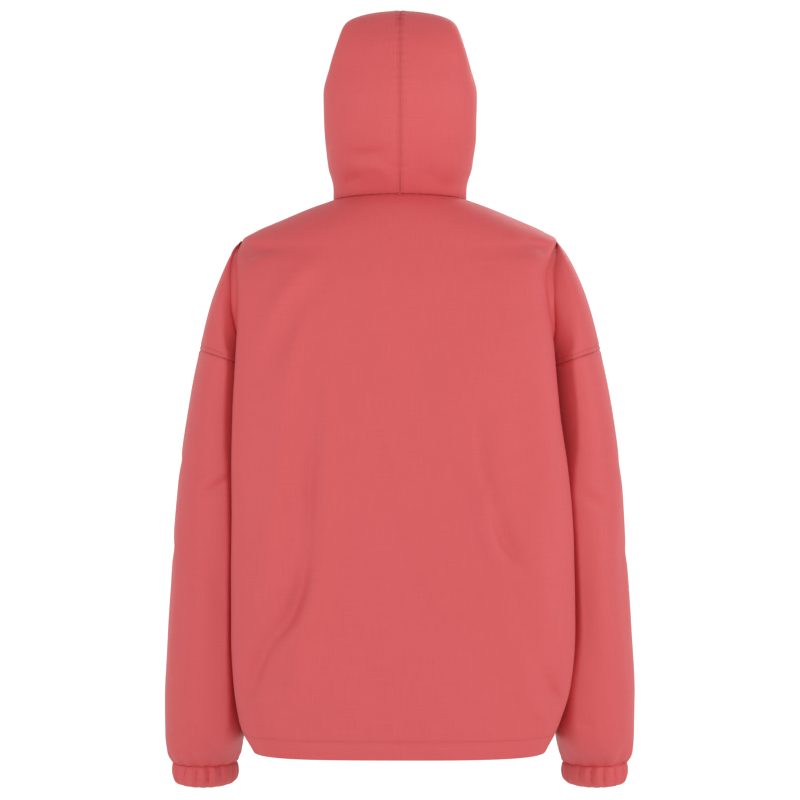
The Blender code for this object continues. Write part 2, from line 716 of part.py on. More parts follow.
def build_zip():
    """Tapes behind the slit, the closed teeth on them, the slider at the neck and its tab."""
    points, run, normals = zip_line()
    below = points[-1] + run[-1] * TAPE_PAST_SLIT
    tape = np.concatenate([points, below[None]])
    out = np.concatenate([normals, normals[-1:]])
    tape[0] += run[0] * SEAM_GAP
    top, bottom = TAPE_DEPTH, TAPE_DEPTH + TAPE_WALL
    strip("zip_tape_left", tape, out, SEAM_GAP / 2, TAPE_WIDTH, top, bottom, CLOTH_ROUGHNESS)
    strip("zip_tape_right", tape, out, -TAPE_WIDTH, -SEAM_GAP / 2, top, bottom, CLOTH_ROUGHNESS)

    length = np.concatenate([[0], np.cumsum(np.linalg.norm(np.diff(points, axis=0), axis=1))])
    start = SLIDER_DOWN + SLIDER_LENGTH / 2 + SEAM_GAP
    at = np.concatenate([[start], length[length > start + 1]])
    at[-1] -= 1.0
    chain = np.stack([np.interp(at, length, points[:, k]) for k in range(3)], axis=1)
    chain_out = np.stack([np.interp(at, length, normals[:, k]) for k in range(3)], axis=1)
    depth = TAPE_DEPTH - SEAM_GAP
    half_teeth = TEETH_WIDTH / 2
    strip("zip_teeth", chain, chain_out, -half_teeth, half_teeth, -TEETH_PROUD, depth, PLASTIC_ROUGHNESS)

    centre, along_zip, outward = (
        np.array([np.interp(SLIDER_DOWN, length, line[:, k]) for k in range(3)])
        for line in (points, run, normals)
    )
    along_zip, outward = Vector(along_zip).normalized(), Vector(outward).normalized()
    across = along_zip.cross(outward)
    turn = Matrix((across, along_zip, outward)).transposed().to_4x4()
    place = Matrix.Translation(Vector(centre) * MM) @ turn
    half, wide, narrow = SLIDER_LENGTH / 2, SLIDER_WIDTH / 2, SLIDER_TAIL / 2
    plan = [(wide - CORNER, -half), (wide, CORNER - half), (wide, 0), (narrow, half)]
    plan += [(-x, a) for x, a in reversed(plan)]
    foot, under, reach = SLIDER_TOP - BRIDGE_SUNK, BRIDGE_TOP - BRIDGE_BAR, BRIDGE_LENGTH / 2
    arch = [(-reach, foot), (-reach, under), (-reach + BRIDGE_BAR, BRIDGE_TOP)]
    hollow = [(reach - BRIDGE_POST, foot), (reach - BRIDGE_POST, under)]
    profile = arch + [(-a, h) for a, h in reversed(arch)]
    profile += hollow + [(-a, h) for a, h in reversed(hollow)]
    body = (plan, 2, -SLIDER_DEEP, SLIDER_TOP)
    bridge = (profile, 0, -BRIDGE_WIDTH / 2, BRIDGE_WIDTH / 2)
    metal_piece("zip_slider", place, body, bridge, "UNION")

    hinge = place @ Matrix.Translation(Vector((0, HINGE_DOWN, HINGE_OUT)) * MM)
    bar, end, broad = TAB_BAR / 2, TAB_LENGTH, TAB_WIDTH / 2
    plate = [(-broad, -bar), (broad, -bar), (broad, end - 2 * CORNER), (broad - 2 * CORNER, end)]
    plate += [(-x, a) for x, a in reversed(plate[2:])]
    eye = [(-TAB_EYE / 2, bar), (TAB_EYE / 2, bar), (TAB_EYE / 2, TAB_ARM), (-TAB_EYE / 2, TAB_ARM)]
    body = (plate, 2, -TAB_THICK / 2, TAB_THICK / 2)
    metal_piece("zip_pull_tab", hinge, body, (eye, 2, -2.0, 2.0), "DIFFERENCE")


def clear_scene():
    for old in list(bpy.data.objects):
        bpy.data.objects.remove(old, do_unlink=True)


def build():
    clear_scene()
    build_garment()
    for side, word in ((1, "left"), (-1, "right")):
        build_cuff(side, word)
    build_zip()


build()
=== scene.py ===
# %% [markdown]
# # An anorak pullover
# A loose pullover anorak in its worn, hollow shape: the hood up, the arms down, elastic cuffs
# and a short zip in front. The imported model gives its true size and where each piece lies.
# Here the same skin is drawn again from the same tables, but much finer, so that it can carry
# creases, seams, puckers and stitches. We start by loading the frame.

import bpy
import numpy as np
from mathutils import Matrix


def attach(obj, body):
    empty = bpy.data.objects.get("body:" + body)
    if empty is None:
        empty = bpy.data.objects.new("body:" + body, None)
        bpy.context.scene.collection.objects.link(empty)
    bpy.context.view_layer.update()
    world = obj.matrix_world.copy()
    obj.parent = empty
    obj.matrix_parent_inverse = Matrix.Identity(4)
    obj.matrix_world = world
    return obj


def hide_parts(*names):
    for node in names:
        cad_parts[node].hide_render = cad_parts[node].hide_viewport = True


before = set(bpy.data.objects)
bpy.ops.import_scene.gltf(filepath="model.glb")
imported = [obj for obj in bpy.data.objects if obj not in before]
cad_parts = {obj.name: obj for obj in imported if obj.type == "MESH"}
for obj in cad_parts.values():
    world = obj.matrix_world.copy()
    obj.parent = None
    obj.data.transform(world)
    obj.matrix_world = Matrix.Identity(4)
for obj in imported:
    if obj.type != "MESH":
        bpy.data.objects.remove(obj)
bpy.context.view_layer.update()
print("nodes:", sorted(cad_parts))

# %% [markdown]
# ## Tables and curves
# A garment's form is easiest to read as a table: one row for each section, one column for each
# size, all in millimetres. Between the rows a monotone cubic curve is drawn, because it is
# smooth and never swings past a value, as a spline would where two rows are nearly equal.

# %% Curves through tables
MM = 0.001


def table(text):
    """Columns of numbers by name: the first line names them, each other line is a row."""
    lines = [line.split() for line in text.strip().splitlines()]
    rows = np.array([[float(value) for value in line[1:]] for line in lines[1:]])
    return {name: rows[:, i] for i, name in enumerate(lines[0][1:])}


def smooth(at, xs, ys):
    """Monotone cubic curve through (xs, ys): tangents are weighted harmonic means of slopes."""
    at, xs, ys = (np.asarray(v, float) for v in (at, xs, ys))
    if xs[0] > xs[-1]:
        xs, ys = xs[::-1], ys[::-1]
    step = np.diff(xs)
    slope = np.diff(ys) / step
    turn = slope[1:] * slope[:-1] > 0
    before, after = np.where(turn, slope[:-1], 1.0), np.where(turn, slope[1:], 1.0)
    near, far = 2 * step[1:] + step[:-1], step[1:] + 2 * step[:-1]
    inner = np.where(turn, (near + far) / (near / before + far / after), 0.0)
    tangent = np.concatenate([slope[:1], inner, slope[-1:]])
    i = np.clip(np.searchsorted(xs, at) - 1, 0, len(step) - 1)
    t, h = (at - xs[i]) / step[i], step[i]
    low = (1 + 2 * t) * (1 - t) ** 2 * ys[i] + t * (1 - t) ** 2 * h * tangent[i]
    high = t * t * (3 - 2 * t) * ys[i + 1] + t * t * (t - 1) * h * tangent[i + 1]
    return low + high


def ease(t):
    """0 to 1 with a level start and end: 3t² - 2t³."""
    t = np.clip(t, 0.0, 1.0)
    return t * t * (3 - 2 * t)


def lengths(points):
    """Distance from the first point to each point, measured along the polyline."""
    return np.concatenate([[0.0], np.cumsum(np.linalg.norm(np.diff(points, axis=0), axis=1))])


def points_at(line, run, at):
    """Points of a polyline where its running measure, run, has the values at."""
    return np.stack([np.interp(at, run, line[:, k]) for k in range(3)], axis=-1)


def along(line, fractions):
    """Points of a polyline at fractions of its length."""
    run = lengths(line)
    return points_at(line, run, np.asarray(fractions) * run[-1])


def quadrant(t, power):
    """The two shares of a superellipse, from its first axis (t = 0) to its second (t = 1)."""
    angle = t * np.pi / 2
    return np.abs(np.cos(angle)) ** (2 / power), np.abs(np.sin(angle)) ** (2 / power)


print("a curve through 0, 1, 1:", smooth([0, 0.5, 1, 1.5, 2], [0, 1, 2], [0, 1, 1]).round(3))

# %% [markdown]
# ## The body
# On the real pullover the back and the front meet on the shoulders and at the sides, and the
# shoulders are dropped: the panel goes on over the arm. Worn, the cloth turns in beside the arm
# and makes a deep crease there. So each section runs from the centre over an edge and in to a
# side point, which lies on the shoulder line, in that crease, or on the side seam.

# %% The body's sections
BODY = table("""
section  z_side z_back z_front y_back y_front side_l side_r side_yb side_yf power
neck         -6     -4     -75     62     -75     80     80      -8      -8   2.0
yoke_1      -14    -16     -88     74     -86    105    105      -8      -8   2.1
yoke_2    -28.6    -34    -104     84     -95    141    141      -8      -8   2.3
yoke_3    -42.3    -50    -120     90    -102    172    172      -8      -8   2.5
tip         -53    -66    -135     95    -107    189    188      -8      -8   2.6
crease_1    -75    -87    -150    101    -111    197    184      38     -38   2.6
crease_2    -97   -106    -164    106    -115    198    180      53     -54   2.6
crease_3   -130   -136    -182    111    -119    198    181      60     -54   2.6
crease_4   -160   -164    -199    115    -122    193    182      58     -43   2.6
crease_5   -190   -193    -216    119    -125    176    172      34     -22   2.6
underarm   -215   -220    -236    122    -127    150    150     -10     -10   2.6
chest      -260   -262    -270    126    -130    147    147     -10     -10   2.6
ribs       -330   -330    -333    131    -134    154    154     -10     -10   2.7
waist      -420   -420    -420    138    -137    164    164     -10     -10   2.7
hip        -510   -510    -510    145    -140    173    173     -10     -10   2.8
seat       -572   -572    -572    149    -141    180    180     -10     -10   3.0
blouse     -618   -618    -618    151    -141    182    181      -6      -6   3.3
hem        -651   -651    -651    152    -140    181    180       2       2   3.4
""") | table("""
section  edge_l edge_r edge_yb edge_fx edge_yf
neck         80     80      -8      80      -8
yoke_1      105    105      -8     105      -8
yoke_2      141    141      -8     141      -8
yoke_3      172    172      -8     172      -8
tip         189    188      -8     189      -8
crease_1    191    177      44     188     -60
crease_2    190    171      60     186     -76
crease_3    190    173      68     185     -82
crease_4    190    177      74     182     -86
crease_5    191    180      78     179     -88
underarm    192    182      80     177     -90
chest       194    186      82     180     -88
ribs        195    195      83     185     -86
waist       195    202      83     187     -86
hip         195    203      82     189     -86
seat        193    198      76     189     -80
blouse      187    186      62     187     -62
hem         170    169      60     176     -54
""")
SECTIONS = len(BODY["z_side"])
TIP, UNDERARM, SEAT, HEM = 4, 10, 15, SECTIONS - 1
CELLS = 84  # across half a panel
EDGE_ROWS = [0.0, 1.0, 2.2, 4.0, 6.5]  # distances in mm of the close rows beside a seam
TO_EDGE, PAST_EDGE = 400, 160  # points that a section is first drawn with


def body_value(column, section):
    """One size of the body at a section number, which may lie between two sections."""
    return smooth(section, np.arange(SECTIONS), BODY[column])


def side_point(section, side, back):
    """The end of a section: on the shoulder line, in the crease or on the side seam."""
    x = side * body_value("side_l" if side > 0 else "side_r", section)
    y = body_value("side_yb" if back else "side_yf", section)
    return np.array([x, y, body_value("z_side", section)])


def body_section(section, side, back, start_x, spread):
    """Points from x = start_x to the side point, at shares of the length given by spread.

    A superellipse quarter |x/a|^p + |y/b|^p = 1 goes from the centre to the edge, and a level
    ease from there to the side point. The height changes evenly with y.
    """
    end = side_point(section, side, back)
    centre_y = body_value("y_back" if back else "y_front", section)
    centre_z = body_value("z_back" if back else "z_front", section)
    edge_name = ("edge_l" if side > 0 else "edge_r") if back else "edge_fx"
    edge_x = body_value(edge_name, section)
    edge_y = body_value("edge_yb" if back else "edge_yf", section)
    inward, outward = quadrant(np.linspace(0, 1, TO_EDGE), body_value("power", section))
    x, y = edge_x * outward, edge_y + (centre_y - edge_y) * inward
    if section > TIP:
        t = np.linspace(1, 0, PAST_EDGE)[1:]
        x = np.concatenate([x, abs(end[0]) + (edge_x - abs(end[0])) * ease(t)])
        y = np.concatenate([y, end[1] + (edge_y - end[1]) * t])
    z = end[2] + (centre_z - end[2]) * (y - end[1]) / (centre_y - end[1])
    points = np.stack([x, y, z], axis=1)
    points[-1] = [abs(end[0]), end[1], end[2]]
    at = float(np.interp(start_x, points[:, 0], np.arange(len(points))))
    first = along(points[int(at) : int(at) + 2], [at - int(at)])
    points = np.concatenate([first, points[int(at) + 1 :]])
    row = along(points, spread)
    row[0, 0] = start_x
    row[-1] = [abs(end[0]), end[1], end[2]]
    return row * (side, 1, 1)


def section_at(height):
    """The section number at which the side of the body has a given height."""
    return smooth(height, BODY["z_side"], np.arange(SECTIONS))


print("sections:", SECTIONS, "half width at the seat, mm:", round(float(BODY["edge_l"][SEAT])))

# %% [markdown]
# The grid of a panel is the stack of its sections. Its cells are about 3 mm, which is fine
# enough for a pucker, and closer beside the seams, where the cloth dips. Each point also keeps
# its place on the flat cloth, measured along the rows and columns, for the weave to follow.

# %% The grids of the panels
HEM_DEPTH = 21.0
ZIP_GAP, ZIP_END = 7.0, -308.0  # half the slit's width, and the height of its end
YOKE_ROWS, ARM_SIDE_ROWS, ZIP_ROWS, LOW_ROWS, TURNED_ROWS = 26, 52, 30, 94, 6  # from the neck down
YOKE_LENGTH = 110.0  # from the neck to the shoulder tip, for the spacing of the rows
PANEL_WIDTH = 240.0  # about half a panel across, for the spacing of the columns
STRIP_COLUMNS = 4


def close_ends(count, length, start=True, end=True):
    """Shares of a length, evenly spaced but with close steps at its ends."""
    extra = np.array(EDGE_ROWS) / length
    low, high = (extra[-1] if start else 0.0), (1 - extra[-1] if end else 1.0)
    before = extra[:-1] if start else []
    after = 1 - extra[:-1][::-1] if end else []
    return np.concatenate([before, np.linspace(low, high, count), after])


def row_sections():
    """Section numbers of the rows from the neck to the hem, with exact rows where seams need them."""
    yoke = close_ends(YOKE_ROWS, YOKE_LENGTH, end=False) * TIP
    beside_arm = np.linspace(TIP, UNDERARM, ARM_SIDE_ROWS)[1:]
    under, hem = BODY["z_side"][UNDERARM] - 3, BODY["z_side"][HEM]
    stitch = hem + HEM_DEPTH
    heights = np.concatenate([
        np.linspace(under, ZIP_END, ZIP_ROWS),
        np.linspace(ZIP_END - 3, stitch + 4, LOW_ROWS),
        [stitch + 1.5, stitch, stitch - 1.5, stitch - 4],
        np.linspace(stitch - 7, hem + 2, TURNED_ROWS),
        [hem + 1],
    ])
    return np.concatenate([yoke, beside_arm, section_at(heights), [HEM]])


def flat_places(grid, start=0.0):
    """Two lengths for each point: along its row from a start, and down the mean column."""
    steps = np.linalg.norm(np.diff(grid, axis=1), axis=2)
    across = np.concatenate([np.zeros((len(grid), 1)), steps.cumsum(axis=1)], axis=1)
    down = np.linalg.norm(np.diff(grid, axis=0), axis=2).mean(axis=1).cumsum()
    down = np.concatenate([[0.0], down])[:, None] + np.zeros(grid.shape[1])
    return np.stack([across + np.asarray(start).reshape(-1, 1), down], axis=2)


ROWS = row_sections()
ARM_ROWS = np.flatnonzero((ROWS >= TIP) & (ROWS <= UNDERARM))
SPREAD = close_ends(CELLS, PANEL_WIDTH, start=False)


def body_grid(side, back):
    """Half a panel: its sections from the neck to the hem, in front from the slit's edge on."""
    start = 0.0 if back else ZIP_GAP
    return np.array([body_section(p, side, back, start, SPREAD) for p in ROWS])


def below_slit(grid):
    """The strip in front between the middle and the slit's edge, from the slit's end to the hem."""
    edge = grid[body_value("z_side", ROWS) <= ZIP_END + 0.01, 0]
    shares = np.linspace(0, 1, STRIP_COLUMNS)
    return np.stack([edge * (share, 1, 1) for share in shares], axis=1)


panels = {(side, back): body_grid(side, back) for side in (1, -1) for back in (True, False)}
print("rows and columns of half a panel:", panels[1, True].shape[:2])

# %% [markdown]
# ## The dropped shoulders and the sleeves
# An arm's ring is two curves from its inner to its outer line, one over the back and one over
# the front. Each is two superellipse quarters that meet where the arm stands out furthest. From
# the shoulder tip to the armhole the inner end of each curve is the crease beside the body; at
# the armhole the two ends meet, and the sleeve goes on from there as closed rings to the cuff.

# %% The arms
ARM_LINE = table("""
at         z   x
tip      -54 188
cap_1    -71 200
cap_2    -92 211
cap_3   -125 224
armhole -185 240
upper   -245 251
elbow_1 -317 262
elbow_2 -365 268
fore_1  -437 272
fore_2  -533 278
wrist_1 -617 281
wrist_2 -653 280
""")
FLAP = table("""
section  back front lean inner
tip        -8    -8 0.50  2.00
crease_1   39   -50 0.35  2.00
crease_2   55   -66 0.35  2.00
crease_3   64   -76 0.38  2.00
crease_4   69   -86 0.42  1.60
crease_5   72   -94 0.50  1.20
underarm   73   -99 0.57  1.08
""")
SLEEVE = table("""
ring       z drop inner outer back front middle lean_l lean_r inner_power
armhole -185   30   150   240   73   -99    -10   0.57   0.57        1.08
upper   -232   22   155   250   72   -98    -11   0.52   0.54        1.16
biceps  -285   12   162   259   72   -94    -12   0.45   0.48        1.22
elbow   -350    4   168   267   73   -91    -14   0.34   0.36        1.26
forearm -430    0   176   273   73   -86    -16   0.25   0.33        1.25
lower   -520    0   183   279   70   -82    -18   0.19   0.29        1.35
wrist   -600    0   187   283   64   -78    -19   0.16   0.20        2.20
full    -645    0   188   283   52   -75    -20   0.22   0.24        2.40
turn    -668    0   192   281   34   -69    -21   0.42   0.42        2.20
cuff    -683    0 198.6 273.4   15   -59    -22   0.50   0.50        2.00
""")
ARM_CELLS, QUARTER_POINTS = 72, 200
FIRST_RINGS, RING_ROWS = [0.02, 0.045, 0.08, 0.13], 152  # close rings beside the armhole, and the others
ARM_POWER, ARMHOLE_DROP = 2.2, 30.0
OUTER_Y, OUTER_DRIFT = -8.0, -2.0  # where the arm's outer line lies at the tip, and how far it moves
TIP_SPREAD = 0.15  # least width of a flap below the tip, as a share of the way down
CUFF_GATHERS, CUFF_GATHER, GATHER_RINGS = 16, 1.8, 1.6


def gathers(turn):
    """Waves round a wrist: cos b and 2|cos(b/2)| - 1 in equal parts, where b = 16a + wander(a).

    The first part is round, the second has sharp valleys. Their strength changes with a.
    """
    a = 2 * np.pi * np.asarray(turn)
    b = CUFF_GATHERS * a + 1.1 * np.sin(a + 1.0) + 0.9 * np.sin(3 * a + 0.4) + 0.5 * np.sin(5 * a)
    wave = 0.5 * np.cos(b) + 0.5 * (2 * np.abs(np.cos(b / 2)) - 1)
    return wave * (0.74 + 0.26 * np.sin(4 * a + 2.0))


def arm_curve(inner, outer, peak_y, lean, inner_power):
    """Half a ring: two superellipse quarters, from inner over the furthest y to outer."""
    peak_x = inner[0] + (outer[0] - inner[0]) * lean
    t = np.linspace(0, 1, QUARTER_POINTS)
    first, second = quadrant(t, inner_power), quadrant(t[1:], ARM_POWER)
    x = np.concatenate([peak_x - (peak_x - inner[0]) * first[0], peak_x + (outer[0] - peak_x) * second[1]])
    y_in = inner[1] + (peak_y - inner[1]) * first[1]
    y_out = outer[1] + (peak_y - outer[1]) * second[0]
    y = np.concatenate([y_in, y_out])
    z = inner[2] + (outer[2] - inner[2]) * (x - inner[0]) / (outer[0] - inner[0])
    return along(np.stack([x, y, z], axis=1), np.linspace(0, 1, ARM_CELLS + 1))


def flap_grid(side, back):
    """The panel's part over the arm, a row for each body row from the tip to the armhole."""
    rows, steps, face = [], np.arange(UNDERARM - TIP + 1), "back" if back else "front"
    tip, armhole = BODY["z_side"][TIP], BODY["z_side"][UNDERARM]
    for section in ROWS[ARM_ROWS]:
        inner = side_point(section, side, back) * (side, 1, 1)
        share = (inner[2] - tip) / (armhole - tip)
        z = inner[2] + ARMHOLE_DROP * share
        reach = max(smooth(z, ARM_LINE["z"], ARM_LINE["x"]), inner[0] + TIP_SPREAD * (tip - inner[2]))
        outer = np.array([reach, OUTER_Y + OUTER_DRIFT * share, z])
        if section - TIP < 1e-6:
            rows.append(np.repeat(side_point(TIP, side, back)[None], ARM_CELLS + 1, axis=0))
            continue
        peak, lean, power = (smooth(section - TIP, steps, FLAP[k]) for k in (face, "lean", "inner"))
        rows.append(arm_curve(inner, outer, peak, lean, power) * (side, 1, 1))
    return np.array(rows)


def sleeve_grid(side, first_ring):
    """Closed rings from the armhole to the cuff, round from the underarm over the back."""
    rings = np.arange(len(SLEEVE["z"]))
    rows = [first_ring]
    places = np.concatenate([FIRST_RINGS, np.linspace(0.2, rings[-1], RING_ROWS)])
    around = np.linspace(0, 1, 2 * ARM_CELLS + 1)
    uneven = 1 + 0.35 * np.sin(2 * np.pi * 3 * around + side) + 0.2 * np.sin(2 * np.pi * 7 * around)
    reach = GATHER_RINGS * uneven
    for ring in places:
        value = {name: float(smooth(ring, rings, column)) for name, column in SLEEVE.items()}
        inner = np.array([value["inner"], value["middle"], value["z"] - value["drop"]])
        outer = np.array([value["outer"], value["middle"], value["z"]])
        lean, power = value["lean_l" if side > 0 else "lean_r"], value["inner_power"]
        halves = [arm_curve(inner, outer, value[face], lean, power) for face in ("back", "front")]
        row = np.concatenate([halves[0], halves[1][::-1][1:]])
        gather = CUFF_GATHER * ease((ring - rings[-1] + reach) / reach)
        outward = (row - [np.mean(row[:, 0]), value["middle"], 0]) * (1, 1, 0)
        outward /= np.linalg.norm(outward, axis=1)[:, None]
        wave = gather * gathers(around)
        rows.append((row + outward * wave[:, None]) * (side, 1, 1))
    return np.array(rows)


flaps = {(side, back): flap_grid(side, back) for side in (1, -1) for back in (True, False)}
sleeves = {}
for side in (1, -1):
    armhole_ring = np.concatenate([flaps[side, True][-1], flaps[side, False][-1][::-1][1:]])
    sleeves[side] = sleeve_grid(side, armhole_ring)
print("points in a sleeve:", sleeves[1].shape[:2])
print("around the armhole, mm:", round(lengths(sleeves[1][0])[-1]))

# %% [markdown]
# ## The hood
# A two-piece hood is two side panels joined over the middle of the head. Seen from the side a
# panel is a patch between four curves: the neck, the seam at the back, the seam on the top and
# the edge round the face. Such a patch is filled by blending opposite edges (a Coons patch).
# A corner of the patch would show if it lay where the seam runs straight, so the corner of back
# and top lies above the crown, where the seam bends most.

# %% The hood's curves
HOOD_BACK = table("""
at        y     z
neck   62.0  -4.0
nape   80.0  22.0
low   100.0  62.0
crown 110.0 110.0
high  102.0 160.0
bend   91.4 181.8
near   82.3 193.1
round  76.0 199.0
""")
HOOD_TOP = table("""
at        y     z
round  76.0 199.0
past   69.1 204.0
rise   57.3 209.6
top    36.0 215.4
flat   -8.0 220.0
brow  -48.0 216.0
edge  -80.0 200.0
""")
HOOD_FACE = table("""
at       y   z
neck   -75 -75
chin   -86 -40
cheek  -94  20
temple -96  90
brow   -92 150
edge   -80 200
""")
HOOD_WIDTH = table("""
at       z half
neck   -75   80
side    -5   80
low     31   88
ear     67   91
wide   115   92
temple 146 83.5
upper  187   70
top    211   63
""")
CURVE_POINTS = 240


def curve(rows):
    """A smooth curve through the y and z of a table, as a fine polyline."""
    at = np.arange(len(rows["y"]))
    fine = np.linspace(0, at[-1], CURVE_POINTS)
    return np.stack([0 * fine, smooth(fine, at, rows["y"]), smooth(fine, at, rows["z"])], axis=1)


print("centre seam, mm:", round(lengths(curve(HOOD_BACK))[-1] + lengths(curve(HOOD_TOP))[-1]))

# %% [markdown]
# The width of the patch follows the height, and is rounded in towards the seam as a quarter
# circle. That circle turns fastest right beside the seam, so the rows and columns crowd there.

# %% The hood's halves
HOOD_ROWS, HOOD_LENGTH = 128, 170.0
HOOD_ROUND_BACK, HOOD_ROUND_TOP, ROUND_FROM, ROUND_OVER = 70.0, 17.5, 110.0, 95.0
FACE_NARROWING = 0.20
BACK_CROWDING, TOP_CROWDING = 0.45, 0.55
FLARE_BACK, FLARE_FRONT = 0.047, 0.353
SETTLED = 0.10  # share of the height over which the columns leave the neck's own spacing


def distance(points, line):
    """How far points are from a polyline: the nearer of the two stretches at its nearest corner."""
    nearest = np.linalg.norm(points[..., None, :] - line, axis=-1).argmin(axis=-1)
    gap = np.full(nearest.shape, np.inf)
    for step in (-1, 0):
        i = np.clip(nearest + step, 0, len(line) - 2)
        start, run = line[i], line[i + 1] - line[i]
        share = np.clip(np.sum((points - start) * run, axis=-1) / np.sum(run * run, axis=-1), 0, 1)
        gap = np.minimum(gap, np.linalg.norm(points - start - share[..., None] * run, axis=-1))
    return gap


def coons(edges, corners, s, t):
    """A patch between four curves: (1 - t) bottom + t top + (1 - s) back + s face - corners.

    The corners, blended in the same way, are in both pairs, so they are taken off once.
    """
    bottom, top, back, face = edges
    low_back, low_face, high_back, high_face = corners
    twice = (1 - s) * (1 - t) * low_back + s * (1 - t) * low_face
    twice = twice + (1 - s) * t * high_back + s * t * high_face
    return (1 - t) * bottom + t * top + (1 - s) * back + s * face - twice


def half_width(patch, seam, u):
    """width(z) * sqrt(1 - (1 - d/r)²), where d is the distance to the seam, a little less in front."""
    near, z = distance(patch[..., 1:], seam[:, 1:]), patch[..., 2]
    radius = HOOD_ROUND_BACK + (HOOD_ROUND_TOP - HOOD_ROUND_BACK) * ease((z - ROUND_FROM) / ROUND_OVER)
    rounding = np.sqrt(1 - np.clip(1 - near / radius, 0, 1) ** 2)
    return smooth(z, HOOD_WIDTH["z"], HOOD_WIDTH["half"]) * rounding * (1 - FACE_NARROWING * u**3)


def hood_grid(side, neck, places):
    """A Coons patch in y and z, with the half width as x.

    At the neck the columns start from the neck's own points. Above, they go over into
    u²(2 - u), and the rows follow w(1 + w - w²), so both crowd beside the centre seam.
    """
    w = close_ends(HOOD_ROWS, HOOD_LENGTH, end=False)[:, None]
    v = w * (1 + w - w**2)
    settled = ease(v / SETTLED)
    u = places * (1 - settled) + places**2 * (2 - places) * settled
    to_face = u * (BACK_CROWDING + (1 - BACK_CROWDING) * u)
    to_top = v * (1 + TOP_CROWDING - TOP_CROWDING * v)
    back_line, top_line = curve(HOOD_BACK), curve(HOOD_TOP)
    back, face, top = along(back_line, to_top), along(curve(HOOD_FACE), to_top), along(top_line, to_face)
    flat_neck = neck * (0, 1, 1)
    run = np.interp(u, places, lengths(flat_neck) / lengths(flat_neck)[-1])
    bottom = points_at(flat_neck, places, u)
    t = to_top[..., None]
    s = run[..., None] * (1 - t) + to_face[..., None] * t
    corners = (flat_neck[0], flat_neck[-1], top_line[0], top_line[-1])
    patch = coons((bottom, top, back, face), corners, s, t)
    half = half_width(patch, np.concatenate([back_line, top_line[1:]]), u)
    rise = ease(v / (FLARE_BACK + FLARE_FRONT * u**2))
    patch[..., 0] = side * (np.interp(u, places, np.abs(neck[:, 0])) * (1 - rise) + half * rise)
    patch[0] = neck
    patch[:, 0, 0] = patch[-1, :, 0] = 0
    return patch


NECK_CROWDING = 0.85  # below 1 the columns at the neck lie closer to the centre
PLACE = SPREAD ** (1 / NECK_CROWDING) / 2
hoods = {}
for side in (1, -1):
    neck = np.concatenate([panels[side, True][0], panels[side, False][0][::-1][1:]])
    hoods[side] = hood_grid(side, neck, np.concatenate([PLACE, 1 - PLACE[::-1][1:]]))
print("hood grid:", hoods[1].shape[:2], "neck seam, mm:", round(2 * lengths(neck)[-1]))

# %% [markdown]
# ## One skin
# The pieces share the points of their seams, so they are first joined into one skin: equal
# points become one. Creases then move the whole skin, and neighbours stay together. Only after
# that is each piece cut out and given its thickness, along normals shared over the seams.

# %% Join the grids
SIDES = ((1, "left"), (-1, "right"))
grids = []


def add(piece, grid, places, turned):
    """Notes a grid of a piece: its points, its places on the cloth, and which way it faces."""
    grids.append((piece, grid, places, turned))


for side, word in SIDES:
    for back, panel in ((True, "back_panel"), (False, "front_panel")):
        grid = panels[side, back]
        places = flat_places(grid, 0.0 if back else ZIP_GAP)
        arm = flat_places(flaps[side, back], places[ARM_ROWS, -1, 0])
        arm[..., 1] += places[ARM_ROWS[0], 0, 1]
        for part, where in ((grid, places), (flaps[side, back], arm)):
            add(panel, part, where * (side, 1), turned=(side > 0) == back)
    strip = below_slit(panels[side, False])
    strip_places = flat_places(strip)
    strip_places[..., 1] += flat_places(panels[side, False])[-len(strip), 0, 1]
    add("front_panel", strip, strip_places * (side, 1), turned=side < 0)
    add(f"sleeve_{word}", sleeves[side], flat_places(sleeves[side]), turned=side > 0)
    add(f"hood_{word}", hoods[side], flat_places(hoods[side]), turned=side < 0)


def cells(rows, columns, turned):
    """The four corner numbers of each cell of a grid, in the order that gives it its face."""
    at = np.arange(rows * columns).reshape(rows, columns)
    cell = np.stack([at[:-1, :-1], at[:-1, 1:], at[1:, 1:], at[1:, :-1]], axis=-1).reshape(-1, 4)
    return cell if turned else cell[:, ::-1]


def merged(cloud):
    """Points equal to a thousandth of a millimetre become one: the points, and the number of each."""
    near = np.round(cloud, 3) + 0.0
    _, first, number = np.unique(near, axis=0, return_index=True, return_inverse=True)
    return cloud[first], number.reshape(-1)


def join():
    """All grids as one mesh of triangles: points, faces, corner places and the piece of each.

    Each cell is cut along its shorter diagonal, and triangles with two equal corners are left out.
    """
    cloud = np.concatenate([grid.reshape(-1, 3) for _, grid, _, _ in grids])
    points, number = merged(cloud)
    faces, corners, names, start = [], [], [], 0
    for name, grid, places, turned in grids:
        a, b, c, d = (cells(*grid.shape[:2], turned) + start).T
        short = np.linalg.norm(cloud[a] - cloud[c], axis=1) <= np.linalg.norm(cloud[b] - cloud[d], axis=1)
        one = np.where(short[:, None], np.stack([a, b, c], 1), np.stack([a, b, d], 1))
        two = np.where(short[:, None], np.stack([a, c, d], 1), np.stack([b, c, d], 1))
        triangles = np.concatenate([one, two])
        one, two, three = number[triangles].T
        whole = (one != two) & (two != three) & (three != one)
        faces.append(number[triangles[whole]])
        corners.append(places.reshape(-1, 2)[triangles[whole] - start])
        names += [name] * int(whole.sum())
        start += places[..., 0].size
    return points, np.concatenate(faces), np.concatenate(corners), np.array(names)


